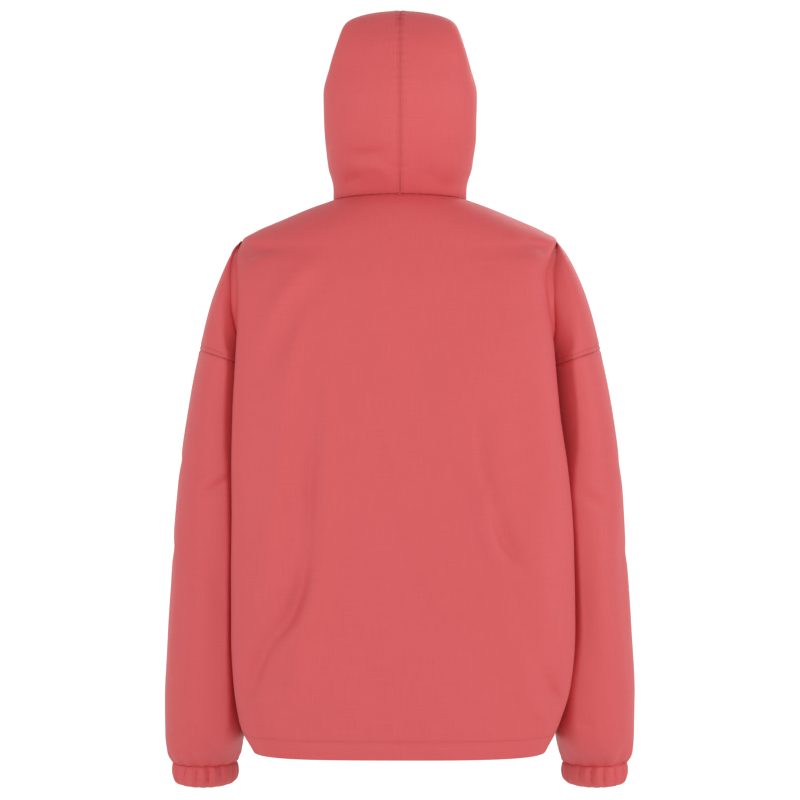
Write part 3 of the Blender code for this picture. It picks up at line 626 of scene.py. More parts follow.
def point_normals(points, faces):
    """Unit normals of the points: the sum of the area vectors of the triangles around each."""
    a, b, c = (points[faces[:, i]] for i in range(3))
    area = np.repeat(np.cross(b - a, c - a), 3, axis=0)
    total = np.stack([np.bincount(faces.ravel(), area[:, k], len(points)) for k in range(3)], axis=1)
    return total / np.maximum(np.linalg.norm(total, axis=1), 1e-12)[:, None]


skin, faces, corners, owner = join()
normals = point_normals(skin, faces)
print("skin:", len(skin), "points,", len(faces), "triangles")

# %% [markdown]
# ## Creases
# Soft cloth shows where it hangs from and where it is pressed: long folds run down from the
# shoulders, short ones lie in the bends of the sleeves. Each crease here is one row of a table:
# a curve through three points, drawn on a view of the garment, with a height (a trough where it
# is negative), a width, and a lean that makes one of its sides steeper. None is quite like the
# next, since evenly repeated folds look machined.

# %% The creases, view by view
EYE_Y, EYE_Z = 2450.0, -245.0  # view 1, from behind, is drawn as seen from here, the others straight on
CREASES = table("""
crease          view   x0   z0   x1   z1   x2   z2 height width lean
yoke_ridge_l       1  101  -79  142 -125  170 -185    4.3    12  0.2
yoke_hollow_l      1   84  -84  120 -138  150 -200   -2.9    14  0.0
long_ridge_l       1  110 -125  129 -203  139 -317    4.6    12  0.3
long_ridge_l2      1  139 -300  155 -420  172 -500    3.8    14  0.2
long_hollow_l      1  128 -240  134 -340  144 -430   -3.2    12 -0.2
inner_ridge_l      1   91 -205   88 -320   93 -437    3.8    12 -0.2
inner_ridge_l2     1   93 -420  112 -530  137 -612    4.3    14  0.0
main_trough_l      1  107 -285  109 -353  111 -425   -5.8     9  0.3
main_trough_l2     1  111 -415  124 -491  154 -532   -7.2    10  0.3
main_trough_l3     1  150 -526  173 -571  189 -628   -6.7    10  0.2
trough_ridge_l     1   97 -437  116 -511  157 -568    4.9    15  0.0
middle_hollow      1   37 -255   22 -308    0 -362   -2.8     8  0.2
middle_band        1   14 -338  -20 -420  -52 -490    2.8    13  0.0
middle_band_low    1  -40 -472  -80 -524 -122 -562    2.5    14  0.0
middle_beside      1   -8 -372  -42 -446  -76 -500   -2.0    11  0.0
diagonal_r         1  -91 -262 -101 -329 -114 -374   -5.2     8 -0.3
diagonal_r2        1 -112 -368 -128 -416 -147 -437   -6.4     9 -0.3
beside_r           1  -96 -345 -106 -413 -125 -452    4.6    11  0.0
yoke_ridge_r       1  -96  -86 -128 -140 -150 -205    2.9    15  0.0
long_hollow_r      1 -136 -180 -148 -300 -160 -400   -2.6    18  0.0
waist_ridge_r      1 -150 -330 -166 -450 -170 -550    2.9    18  0.0
seat_ridge_r       1 -112 -470 -140 -550 -166 -600    2.6    16  0.0
corner_r           1 -170 -570 -184 -600 -188 -630   -5.8    12  0.2
corner_r2          1 -184 -586 -190 -599 -196 -610   -2.9     5  0.0
corner_ridge_r     1 -150 -600 -172 -624 -186 -640    2.6     9  0.0
centre_soft_1      1   30 -110   24 -220   34 -330    1.3    26  0.0
centre_soft_2      1  -34 -150  -30 -260  -44 -390   -1.4    24  0.0
centre_soft_3      1   20 -400   10 -500   26 -620    1.4    28  0.0
centre_soft_4      1  -60 -430  -52 -520  -70 -620    1.4    26  0.0
tip_l              1  146  -65  167  -64  186  -80   -3.6     7  0.3
tip_l2             1  180  -62  192  -78  199 -104   -2.4     9  0.0
tip_r              1 -143  -59 -161  -57 -176  -66   -3.2     7 -0.3
tip_r2             1 -170  -62 -180  -84 -183 -112   -2.2     9  0.0
flap_l             1  223 -140  223 -168  221 -192   -2.2     6  0.0
flap_ridge_l       1  230 -120  232 -160  231 -198    1.6     8  0.0
flap_l2            1  211 -110  213 -150  208 -186    1.5     7  0.0
flap_r             1 -214 -130 -222 -165 -226 -196   -1.4     9  0.0
flap_ridge_r       1 -204 -110 -212 -150 -214 -185    1.4     9  0.0
hood_fold_l        1   66   53   41   49   16   54   -2.6     8  0.2
hood_fold_l2       1   66   22   56   20   45   22   -1.6     7  0.0
hood_streak_l      1   29   44   20   29   10   18    1.6     7  0.0
hood_ridge_l       1   60   38   40   35   24   36    1.4     8  0.0
hood_diagonal_r    1  -61   98  -57   70  -48   42   -1.4     8  0.0
hood_side_r        1  -70   50  -62   30  -52   14    1.2    10  0.0
hood_low_r         1  -20   30  -36   24  -52   28   -1.2     9  0.0
hood_top_l         1   38  198   20  204    4  205   -0.8     5  0.0
hood_top_r         1  -36  196  -20  202   -6  204   -0.7     5  0.0
elbow_l            1  240 -360  220 -349  202 -336   -3.0     6  0.3
elbow_ridge_l      1  248 -350  224 -337  204 -324    1.8     8  0.0
elbow_soft_l       1  262 -330  246 -322  228 -322   -1.3    10  0.0
fore_ridge_l       1  244 -400  240 -470  246 -540    1.8    14  0.0
fore_hollow_l      1  222 -420  216 -500  222 -580   -1.8    12  0.0
fore_soft_l        1  268 -430  262 -500  266 -580   -1.2    12  0.0
elbow_r            1 -256 -384 -232 -366 -212 -352   -2.2     8  0.2
elbow_ridge_r      1 -252 -366 -230 -350 -208 -338    1.4     9  0.0
fore_ridge_r       1 -250 -410 -242 -480 -250 -560    1.7    14  0.0
fore_hollow_r      1 -226 -400 -220 -480 -228 -570   -1.6    12  0.0
blouse_l           1  268 -666  254 -667  244 -680   -2.0     5  0.2
blouse_l2          1  262 -682  258 -678  253 -679   -1.1     4  0.0
blouse_l3          1  232 -655  221 -667  211 -674   -1.8     5  0.0
blouse_l4          1  250 -648  238 -640  214 -644    1.5     9  0.0
blouse_r           1 -279 -654 -267 -676 -267 -700   -2.8     6  0.2
blouse_r2          1 -231 -685 -241 -678 -248 -672   -1.5     4  0.0
blouse_r3          1 -212 -631 -223 -635 -234 -634   -1.5     5  0.0
blouse_r4          1 -262 -640 -246 -652 -226 -650    1.4     9  0.0
front_yoke_l      -1   86 -110  118 -160  150 -206    3.8    14  0.2
front_yoke_r      -1  -90 -104 -126 -150 -156 -200    3.2    13  0.0
front_long_l      -1   62 -190   92 -330  116 -480    4.1    15  0.0
front_long_l2     -1  100 -300  112 -420  140 -540   -5.2    11  0.2
front_long_l3     -1   70 -400   78 -500  104 -600    2.6    18  0.0
front_long_r      -1  -54 -200  -82 -330  -98 -470   -4.1    12 -0.2
front_long_r2     -1  -84 -260 -104 -380 -124 -500    3.8    14  0.0
front_long_r3     -1 -104 -480 -132 -560 -166 -610   -5.2    11  0.2
front_pull_l      -1    9 -312   30 -350   40 -410    2.0     9  0.0
front_pull_r      -1   -9 -312  -26 -346  -30 -400    1.9     9  0.0
front_corner_l    -1  150 -590  168 -612  178 -632   -3.8     9  0.0
front_tip_l       -1  140  -82  162  -90  182 -106   -4.1     9  0.0
front_tip_r       -1 -138  -80 -158  -86 -178 -100   -3.8     9  0.0
bend_l            -1  252 -336  228 -352  202 -362   -3.6     8  0.3
bend_ridge_l      -1  254 -350  230 -366  204 -374    2.2     9  0.0
bend_low_l        -1  258 -392  234 -402  206 -400   -2.8     8 -0.2
bend_r            -1 -250 -340 -226 -354 -200 -354   -3.4     8  0.3
bend_ridge_r      -1 -254 -356 -230 -370 -204 -370    2.0     9  0.0
bend_low_r        -1 -258 -404 -236 -408 -208 -412   -2.6     8  0.0
front_fore_l      -1  246 -430  240 -500  248 -580    1.6    14  0.0
front_fore_r      -1 -246 -440 -238 -510 -248 -590    1.6    14  0.0
front_blouse_l    -1  266 -660  248 -668  232 -660   -1.8     6  0.0
front_blouse_r    -1 -262 -664 -244 -660 -226 -668   -1.8     6  0.0
side_body_l        2   24 -380   36 -470   22 -580    2.0    16  0.0
side_body_l2       2  -30 -360  -44 -480  -28 -590   -1.8    16  0.0
side_arm_l         2   16 -300   -6 -322  -36 -316   -2.2     9  0.2
side_arm_l2        2   20 -410   -8 -424  -44 -412   -1.8    10  0.0
side_arm_l3        2  -30 -470  -24 -540  -38 -610    1.5    14  0.0
side_hood_l        2   20   40   46   56   72   70   -1.4    12  0.0
side_hood_l2       2  -60  -10  -30   12  -14   50   -1.6    11  0.0
side_hood_l3       2  -70   90  -52  130  -46  170    1.0    16  0.0
side_body_r       -2   20 -370   38 -460   26 -570   -1.9    16  0.0
side_arm_r        -2   12 -310  -10 -330  -40 -324   -2.2     9  0.2
side_arm_r2       -2   16 -420  -14 -430  -42 -420   -1.7    10  0.0
side_hood_r       -2  -62   -6  -34   14  -20   54   -1.5    11  0.0
side_hood_r2      -2   10   60   40   64   70   84    1.2    13  0.0
""")


CREASE_POINTS, CREASE_ROOM = 33, 2.6  # points along a crease, and its reach in widths
FACING_FROM, FACING_OVER = 0.08, 0.35  # where the skin turns away from the view, a crease fades
END_SHARE = 0.04  # of the sine's arch that is left out at each end, so that no end is quite flat


def seen(points, view):
    """The points as drawn on a view: x and z from the eye behind, or plain x and z, or y and z."""
    if view == 1:
        nearer = EYE_Y / (EYE_Y - points[:, 1])
        return np.stack([points[:, 0] * nearer, EYE_Z + (points[:, 2] - EYE_Z) * nearer], axis=1)
    return points[:, [0, 2]] if view == -1 else points[:, [1, 2]]


def crease(points, normals, row):
    """Height at each point: exp(-(d/w)²), fading out at the ends as sin(pi t)^0.8 and round the side.

    d is the distance to the curve on the view, and w is wider on one side by the lean.
    """
    view = row["view"]
    towards = np.array([0.0, view, 0.0]) if abs(view) == 1 else np.array([np.sign(view), 0.0, 0.0])
    ends = np.array([[row[f"x{k}"], row[f"z{k}"]] for k in range(3)])
    t = np.linspace(0, 1, CREASE_POINTS)[:, None]
    middle = 2 * ends[1] - 0.5 * (ends[0] + ends[2])
    path = (1 - t) ** 2 * ends[0] + 2 * t * (1 - t) * middle + t * t * ends[2]
    flat, facing = seen(points, view), ease((normals @ towards - FACING_FROM) / FACING_OVER)
    room = CREASE_ROOM * row["width"]
    near = np.all((flat > path.min(0) - room) & (flat < path.max(0) + room), axis=1) & (facing > 0)
    apart = flat[near][:, None] - path[None]
    gap = np.linalg.norm(apart, axis=2)
    nearest = gap.argmin(axis=1)
    run = np.gradient(path, axis=0)[nearest]
    offset = apart[np.arange(len(nearest)), nearest]
    hand = np.sign(run[:, 0] * offset[:, 1] - run[:, 1] * offset[:, 0])
    wide = row["width"] * (1 + row["lean"] * hand)
    run_share = END_SHARE + (1 - 2 * END_SHARE) * nearest / (CREASE_POINTS - 1)
    shape = np.exp(-((gap.min(axis=1) / wide) ** 2)) * np.sin(np.pi * run_share) ** 0.8
    height = np.zeros(len(points))
    height[near] = row["height"] * shape * facing[near]
    return height


def undulation(points):
    """A low, broad unevenness: a sum of two products of sines with long, unlike wavelengths."""
    x, y, z = points.T
    broad = 0.5 * np.sin(x / 37 + z / 61 + 1) * np.sin(z / 83 - y / 47)
    return broad + 0.3 * np.sin(x / 19 - z / 43) * np.sin(z / 29 + y / 23)


height = undulation(skin)
for i in range(len(CREASES["view"])):
    height += crease(skin, normals, {name: column[i] for name, column in CREASES.items()})
print("creases:", len(CREASES["view"]))
print("height from", height.min().round(1), "to", height.max().round(1), "mm")

# %% [markdown]
# ## Seams and their stitching lines
# A seam draws the cloth in: it lies in a little valley, and the thread, a bit tighter than the
# cloth, puckers it on both sides. The same happens under each line of topstitching. So all
# these lines are listed with the depth of their valley and the strength of their puckers.

# %% The lines of the seams
FACE_CASING = 22.0
ARMHOLE_STITCH, NECK_STITCH, HOOD_STITCH, ZIP_STITCH, OUTER_ZIP_STITCH = 6.4, 5.0, 2.6, 2.2, 8.0
CROSSED = 0.85  # of its distance from the hood's seam; a stitch that lies nearer is left out
OUTER_FROM = 16  # rows below the shoulder tip, where the crease leaves no room for puckers


def beside(grid, distance, from_end=False, along_rows=False):
    """The line that lies a distance inside an edge of a grid, measured over the cloth."""
    lines = grid if along_rows else grid.transpose(1, 0, 2)
    lines = lines[:, ::-1] if from_end else lines
    return np.array([points_at(line, lengths(line), distance) for line in lines])


def beside_centre(grid, distance):
    """The line beside the hood's centre seam, up the back and over the top.

    Where the lines of back and top cross, their overlapping ends lie too near the seam and go.
    """
    line = np.concatenate([beside(grid, distance, along_rows=True), beside(grid, distance, from_end=True)])
    seam = np.concatenate([grid[:, 0], grid[-1]])
    gap = np.linalg.norm(line[:, None] - seam, axis=2).min(axis=1)
    return line[gap > CROSSED * distance]


def both(make):
    """One line from the left half through the centre to the right half."""
    return np.concatenate([make(1)[::-1], make(-1)[1:]])


HEM_ROW = int(np.argmin(np.abs(ROWS - section_at(BODY["z_side"][HEM] + HEM_DEPTH))))
LINES = {}  # by name: the line, the depth of its valley and the strength of its puckers, in mm
for side, word in SIDES:
    grid, flap = hoods[side], {back: flaps[side, back] for back in (True, False)}
    LINES[f"armhole_{word}"] = (sleeves[side][0], -0.9, 0.6)
    for back, face in ((True, "back"), (False, "front")):
        LINES[f"armhole_stitch_{face}_{word}"] = (beside(flap[back], ARMHOLE_STITCH, from_end=True), -0.8, 0.6)
        LINES[f"hem_stitch_{face}_{word}"] = (panels[side, back][HEM_ROW], -0.45, 0.3)
        LINES[f"outer_seam_{face}_{word}"] = (flap[back][OUTER_FROM:, -1], -0.35, 0.1)
    shoulder, under = panels[side, True][: ARM_ROWS[0] + 1, -1], panels[side, True][ARM_ROWS[-1] :, -1]
    LINES[f"shoulder_{word}"] = (shoulder, -0.8, 0.25)
    LINES[f"side_seam_{word}"] = (under, -0.8, 0.25)
    LINES[f"sleeve_seam_{word}"] = (sleeves[side][:, 0], -0.6, 0.25)
    LINES[f"cuff_seam_{word}"] = (sleeves[side][-1], -0.9, 0.3)
    LINES[f"neck_stitch_{word}"] = (beside(grid, NECK_STITCH), -0.4, 0.25)
    LINES[f"face_stitch_{word}"] = (beside(grid, FACE_CASING, from_end=True, along_rows=True), -0.6, 0.3)
    LINES[f"hood_stitch_{word}"] = (beside_centre(grid, HOOD_STITCH), -0.3, 0.2)
    slit = panels[side, False][ROWS <= section_at(ZIP_END)]
    LINES[f"zip_stitch_{word}"] = (beside(slit, ZIP_STITCH, along_rows=True), -0.35, 0.2)
    LINES[f"zip_stitch_outer_{word}"] = (beside(slit, OUTER_ZIP_STITCH, along_rows=True), -0.3, 0.25)
LINES["neck"] = (both(lambda side: hoods[side][0]), -0.8, 0.3)
LINES["hood_back"] = (hoods[1][:, 0], -0.6, 0.2)
LINES["hood_top"] = (hoods[1][-1], -0.6, 0.2)
sewn = sum(lengths(line)[-1] for line, _, _ in LINES.values())
print("lines of sewing:", len(LINES), "together", round(sewn * MM, 1), "m")

# %% The valleys and puckers
VALLEY, PUCKER_REACH, PUCKER_CLEAR = 1.5, 7.0, 1.5
# Painted shade: along a seam the colour is darkened by this share for each mm of its valley's depth, over this
# reach in mm; the crown patch is darkened by the same share.
SHADE_AND_PATCH_DARKENING, SEAM_SHADE_REACH = 0.10, 1.6
LINE_STEP, CHUNK = 1.6, 4000  # spacing of the points of a line, and points compared at a time
TIP_PLAIN, TIP_FADING = 6.0, 26.0  # round a shoulder tip the crease leaves no room for folds


def near_line(points, line, reach):
    """Which points are within reach of a line, how far, and at what length along the line."""
    count = max(int(lengths(line)[-1] / LINE_STEP), 2)
    fine = along(line, np.linspace(0, 1, count))
    run = lengths(fine)
    boxed = (points > fine.min(0) - reach) & (points < fine.max(0) + reach)
    close = np.flatnonzero(np.all(boxed, axis=1))
    gap, at = np.zeros(len(close)), np.zeros(len(close), int)
    for part in np.array_split(np.arange(len(close)), len(close) // CHUNK + 1):
        apart = np.linalg.norm(points[close[part]][:, None] - fine[None], axis=2)
        gap[part], at[part] = apart.min(axis=1), apart.argmin(axis=1)
    inside = gap < reach
    return close[inside], gap[inside], run[at[inside]]


def puckers(run):
    """Uneven ripples along a seam, 7 to 14 mm long: two sines that drift against each other."""
    return 0.6 * np.sin(run / 1.55 + np.sin(run / 23)) + 0.4 * np.sin(run / 2.3 + 2 * np.sin(run / 41))


tips = np.array([side_point(TIP, side, True) for side in (1, -1)])
from_tip = np.linalg.norm(skin[:, None] - tips, axis=2).min(axis=1)
shade_and_patch_tone = np.ones(len(skin))
for name, (line, depth, strength) in LINES.items():
    at, gap, run = near_line(skin, line, 3 * PUCKER_REACH)
    height[at] += depth * np.exp(-((gap / VALLEY) ** 2))
    height[at] += strength * puckers(run) * np.exp(-((gap / PUCKER_REACH) ** 2)) * ease(gap / PUCKER_CLEAR)
    # Painted shade: the colour darkens along each line, the more the deeper its valley.
    shade_and_patch_tone[at] *= 1 + SHADE_AND_PATCH_DARKENING * depth * np.exp(-((gap / SEAM_SHADE_REACH) ** 2))
height *= ease((from_tip - TIP_PLAIN) / TIP_FADING)
print("tone from", shade_and_patch_tone.min().round(2), "to", shade_and_patch_tone.max().round(2))

# %% [markdown]
# The hem and the casing round the face are the cloth turned twice, so they stand a little
# prouder than the single cloth and are thicker. A small patch doubles the crown of the hood,
# where its seam ends.

# %% The doubled parts
FOLD_RISE, FOLD_LIFT = 2.5, 0.5  # over how far the cloth steps up to a turned part, and how high
PATCH_HALF, PATCH_EDGE, PATCH_LIFT = 6.5, 1.2, 0.35  # half width, its edge and its thickness
PATCH_Z, PATCH_Y, PATCH_RISE_Z, PATCH_RISE_Y = 188.0, 20.0, 2.0, 6.0  # where it starts, and over how far
WALL, TURNED_WALL = 1.2, 1.2  # of single cloth, and what a turned part adds
hem_line = BODY["z_side"][HEM] + HEM_DEPTH
in_panel = np.zeros(len(skin), bool)
in_panel[np.unique(faces[np.isin(owner, ["back_panel", "front_panel"])])] = True
in_hem = in_panel * ease((hem_line + 1 - skin[:, 2]) / FOLD_RISE)
casing = np.zeros(len(skin))
for side in (1, -1):
    at, gap, _ = near_line(skin, hoods[side][:, -1], FACE_CASING)
    casing[at] = np.maximum(casing[at], ease((FACE_CASING - gap) / FOLD_RISE))
patch = ease((PATCH_HALF - np.abs(skin[:, 0])) / PATCH_EDGE)
patch = patch * ease((skin[:, 2] - PATCH_Z) / PATCH_RISE_Z) * ease((skin[:, 1] - PATCH_Y) / PATCH_RISE_Y)
doubled = np.maximum(in_hem, casing)
height += FOLD_LIFT * doubled + PATCH_LIFT * patch
# The doubled patch at the crown is drawn darker by the same share.
shade_and_patch_tone *= 1 - SHADE_AND_PATCH_DARKENING * patch
wall = WALL + TURNED_WALL * doubled
cloth = skin + normals * height[:, None]
cloth_normals = point_normals(cloth, faces)
moved = (cloth - skin).round(1)
print("the cloth stands", moved.min(), "to", moved.max(), "mm off the plain skin")

# %% [markdown]
# ## Cutting the pieces out
# Each piece is a shell: the outer skin, the same skin moved in by the wall, and a rim between
# their borders. The border lies a little way back from the seam, so that two pieces meet in a
# fine dark line, as sewn cloth does.

# %% From triangles to objects
SEAM = 0.16  # from the seam to the border of a piece
FOLDED_BELOW, FOLDED_SEAM = -150.0, 1.6  # below this height, borders at a sharp fold lie further back
ASTRAY = 0.5  # least agreement of a border's shared normal with the piece's own


def mesh_object(name, points, triangles, places=None, shade_and_patch_tones=None):
    """An object of triangles from points in mm, with a UV map in metres and, for each point, how much painted
    shade and patch darkening it has.
    """
    mesh = bpy.data.meshes.new(name)
    mesh.vertices.add(len(points))
    mesh.vertices.foreach_set("co", (points * MM).ravel())
    mesh.loops.add(triangles.size)
    mesh.loops.foreach_set("vertex_index", triangles.ravel().astype(np.int32))
    mesh.polygons.add(len(triangles))
    mesh.polygons.foreach_set("loop_start", np.arange(0, triangles.size, 3, dtype=np.int32))
    mesh.polygons.foreach_set("loop_total", np.full(len(triangles), 3, dtype=np.int32))
    mesh.update(calc_edges=True)
    mesh.shade_smooth()
    if places is not None:
        layer = mesh.uv_layers.new(name="cloth")
        layer.data.foreach_set("uv", (places * MM).ravel())
    shade_and_patch_tones = np.ones(len(points)) if shade_and_patch_tones is None else shade_and_patch_tones
    mesh.attributes.new("shade_and_patch_tone", "FLOAT", "POINT").data.foreach_set("value", shade_and_patch_tones)
    piece = bpy.data.objects.new(name, mesh)
    bpy.context.collection.objects.link(piece)
    return piece


def border(triangles):
    """Edges that only one triangle has, each as it runs round that triangle, and the triangle."""
    a, b = triangles.ravel(), np.roll(triangles, -1, axis=1).ravel()
    size = int(triangles.max()) + 1
    lone = ~np.isin(b * size + a, a * size + b)
    return a[lone], b[lone], np.repeat(np.arange(len(triangles)), 3)[lone]


def shell(name, points, triangles, places, normals, own, wall, shade_and_patch_tones, pull):
    """A closed shell: points, then points - normal * wall, joined by a rim along the border.

    At the border the outer points are pulled into the piece, square to each lone edge.
    """
    astray = np.sum(own * normals, axis=1) < ASTRAY
    inward = np.where(astray[:, None], own, normals)
    a, b, which = border(triangles)
    one, two, three = points[triangles[which]].transpose(1, 0, 2)
    into = np.cross(np.cross(two - one, three - one), points[b] - points[a])
    into /= np.linalg.norm(into, axis=1)[:, None]
    pulled = np.zeros_like(points)
    np.add.at(pulled, a, into)
    np.add.at(pulled, b, into)
    size = np.linalg.norm(pulled, axis=1)[:, None]
    pulled = np.where(size > 0, pulled / np.maximum(size, 1e-9), 0)
    folded = astray & (points[:, 2] < FOLDED_BELOW)
    outer = points + pulled * np.where(folded, FOLDED_SEAM, pull)[:, None]
    inner = points + pulled * np.where(folded, FOLDED_SEAM, 0.0)[:, None] - inward * wall[:, None]
    count = len(points)
    rim = np.concatenate([np.stack([b, a, a + count], 1), np.stack([b, a + count, b + count], 1)])
    every = np.concatenate([triangles, triangles[:, ::-1] + count, rim])
    point_place = np.zeros((count, 2))
    point_place[triangles.ravel()] = places.reshape(-1, 2)
    every_place = np.concatenate([places, places[:, ::-1], point_place[rim % count]]).reshape(-1, 2)
    return mesh_object(name, np.concatenate([outer, inner]), every, every_place, np.tile(shade_and_patch_tones, 2))


def cut(name):
    """Cuts a piece from the cloth by the names of the triangles' owners."""
    mine = owner == name
    used, local = np.unique(faces[mine], return_inverse=True)
    local = local.reshape(-1, 3)
    own, shared = point_normals(cloth[used], local), cloth_normals[used]
    places = corners[mine]
    return shell(name + "_cloth", cloth[used], local, places, shared, own, wall[used], shade_and_patch_tone[used], SEAM)


CLOTH = ["back_panel", "front_panel", "sleeve_left", "sleeve_right", "hood_left", "hood_right"]
pieces = {name: cut(name) for name in CLOTH}
for name, piece in pieces.items():
    print(name, "triangles:", len(piece.data.polygons))

# %% [markdown]
# ## The elastic cuffs
# An elastic cuff is a casing of cloth with the elastic run through it, so the cloth stands in
# gathers round the wrist. Here a short profile goes round in a circle: its radius waves with
# the same gathers as the sleeve's end, so that the folds run on from one into the other. It is
# the inner face of the casing, and the wall goes outward from it.

# %% The cuffs
CUFF_CENTRE, CUFF_CELLS = (236.0, -22.0), 288
CUFF = table("""
at          z radius wave
tuck   -680.8   33.8  1.4
top    -683.2   35.0  1.5
seam   -684.5   35.9  1.7
upper  -687.0   36.5  1.9
full   -692.5   36.8  2.1
middle -698.0   36.3  2.0
lower  -702.6   34.6  1.8
turn   -705.8   31.0  1.5
end    -707.4   26.2  1.2
""")
CUFF_RINGS, CUFF_WALL = 36, 2.0
PINCH = 0.3  # height of the small creases across the gathers


def cuff_grid(side):
    """Rings (x, y) = centre + (radius + wave * gathers(turn)) (cos, sin), with small creases."""
    steps = np.arange(len(CUFF["z"]))
    at = np.linspace(0, steps[-1], CUFF_RINGS)
    z, radius, wave = (smooth(at, steps, CUFF[k])[:, None] for k in ("z", "radius", "wave"))
    turn = np.linspace(0, 1, CUFF_CELLS + 1)[None]
    pinch = PINCH * np.sin(2 * np.pi * (41 * turn + 0.02 * z)) * np.sin(2 * np.pi * 5 * turn + z / 5)
    r = radius + wave * gathers(turn) + pinch
    angle = np.pi * (1 - 2 * turn)
    x = side * (CUFF_CENTRE[0] + r * np.cos(angle))
    y = CUFF_CENTRE[1] + r * np.sin(angle)
    grid = np.stack([x, y, z + 0 * turn], axis=2)
    grid[:, -1] = grid[:, 0]
    return grid


def band(name, grid, turned, wall):
    """A shell from a grid of its own, of even thickness: the piece, its points and their normals."""
    points, number = merged(grid.reshape(-1, 3))
    cell = cells(*grid.shape[:2], turned)
    corner = np.concatenate([cell[:, [0, 1, 2]], cell[:, [0, 2, 3]]])
    places = flat_places(grid).reshape(-1, 2)[corner]
    own = point_normals(points, number[corner])
    even, plain = np.full(len(points), wall), np.ones(len(points))
    piece = shell(name + "_cloth", points, number[corner], places, own, own, even, plain, 0.0)
    return piece, points, own


for side, word in SIDES:
    name = f"cuff_{word}"
    pieces[name], points, own = band(name, cuff_grid(side), side < 0, CUFF_WALL)
    away = points[:, :2] - [side * CUFF_CENTRE[0], CUFF_CENTRE[1]]
    outward = np.sum(own[:, :2] * away, axis=1).mean() < 0
    print(name, "triangles:", len(pieces[name].data.polygons), "wall goes outward:", bool(outward))

# %% [markdown]
# ## The zip
# Behind the slit lie two woven tapes. The teeth of one tape stand between those of the other,
# so a tooth is modelled once, as a small rounded bar with a thicker head, and set along the
# middle line in turn from the left and from the right. The slider and its pull tab are right as
# they are in the frame, and only get their metal.

# %% Tapes and teeth
TAPE_WIDTH, TAPE_WALL, TAPE_DEPTH, TAPE_LIFT, TAPE_PAST_SLIT = 13.0, 1.0, 1.9, 0.1, 12.0
SLIDER_DOWN, SLIDER_LENGTH = 11.0, 12.0
TOOTH_PITCH, TOOTH_REACH, TOOTH_BITE, TOOTH_THICK = 1.5, 2.6, 0.8, 0.55
TOOTH_SIDES, TOOTH_ROUND, TOOTH_SUNK = 8, 0.85, 0.75
CLEAR_OF_SLIDER, CLEAR_OF_END = 0.8, 1.2
ZIP_POINTS = 120


def zip_line():
    """The middle line of the front, neck to the end of the slit: points, direction, outward."""
    grid = panels[1, False]
    points = grid[ROWS <= section_at(ZIP_END) + 1e-6, 0] * (0, 1, 1)
    points = along(points, np.linspace(0, 1, ZIP_POINTS))
    run = np.gradient(points, axis=0)
    run /= np.linalg.norm(run, axis=1)[:, None]
    return points, run, np.stack([np.zeros(len(run)), run[:, 2], -run[:, 1]], axis=1)


zip_points, zip_run, zip_out = zip_line()


def tape(side):
    """A band beside the middle line: across it the depth is level, with a woven edge ridge."""
    points = np.concatenate([zip_points, zip_points[-1:] + zip_run[-1:] * TAPE_PAST_SLIT])
    out = np.concatenate([zip_out, zip_out[-1:]])
    across = np.array([0.25, 0.8, 2.6, 3.4, 4.2, 6, 8, 10, 12, TAPE_WIDTH])
    ridge = np.array([0, 0.1, 0.12, 0.3, 0.12, 0, 0, 0, 0.05, 0.0])
    grid = points[:, None] + np.array([side, 0, 0]) * across[None, :, None]
    return grid - out[:, None] * (TAPE_DEPTH - TAPE_LIFT - ridge)[None, :, None]


for side, word in SIDES:
    name = f"zip_tape_{word}"
    pieces[name], points, own = band(name, tape(side), side < 0, TAPE_WALL)
    print(name, "faces forward:", bool(own[:, 1].mean() < 0))

# %% [markdown]
# Teeth and stitches are both small closed tubes, repeated many times: a few rings, with a fan of
# triangles over each end. So one helper numbers such a tube, and repeats it for every tooth.

# %% Closed tubes, and the teeth
def tubes(count, rings, sides):
    """Triangles of equal closed tubes, each of rings with the same number of sides."""
    local = np.arange(rings * sides).reshape(rings, sides)
    beyond = np.roll(local, -1, axis=1)
    one = np.stack([local[:-1], beyond[:-1], beyond[1:]], axis=-1).reshape(-1, 3)
    two = np.stack([local[:-1], beyond[1:], local[1:]], axis=-1).reshape(-1, 3)
    fan = np.stack([np.zeros(sides - 2, int), local[0, 1:-1], local[0, 2:]], axis=1)
    tube = np.concatenate([one, two, fan[:, ::-1], fan + (rings - 1) * sides])
    return tube[None] + (np.arange(count) * rings * sides)[:, None, None]


def teeth():
    """Every tooth at once: a bar across the line, eight-sided, thicker at its head."""
    run = lengths(zip_points)
    top = SLIDER_DOWN + SLIDER_LENGTH / 2 + CLEAR_OF_SLIDER
    at = np.arange(top, run[-1] - CLEAR_OF_END, TOOTH_PITCH)
    centre, direction, out = (points_at(line, run, at) for line in (zip_points, zip_run, zip_out))
    hand = np.where(np.arange(len(at)) % 2 == 0, 1.0, -1.0)
    stations = np.array([-TOOTH_BITE, -TOOTH_BITE + 0.25, 0.1, 0.7, TOOTH_REACH - 0.25, TOOTH_REACH])
    size = np.array([0.35, 1.0, 1.0, 0.72, 0.8, 0.5])
    angle = np.linspace(0, 2 * np.pi, TOOTH_SIDES + 1)[:-1]
    x = hand[:, None, None] * stations[None, :, None] + 0 * angle
    a = TOOTH_THICK * size[None, :, None] * np.cos(angle)
    b = TOOTH_ROUND * size[None, :, None] * np.sin(angle) - TOOTH_SUNK
    points = centre[:, None, None] + x[..., None] * np.array([1.0, 0, 0])
    points = points + a[..., None] * direction[:, None, None] + b[..., None] * out[:, None, None]
    triangles = tubes(len(at), len(stations), TOOTH_SIDES)
    triangles[hand > 0] = triangles[hand > 0][:, :, ::-1]
    return points.reshape(-1, 3), triangles.reshape(-1, 3), len(at)


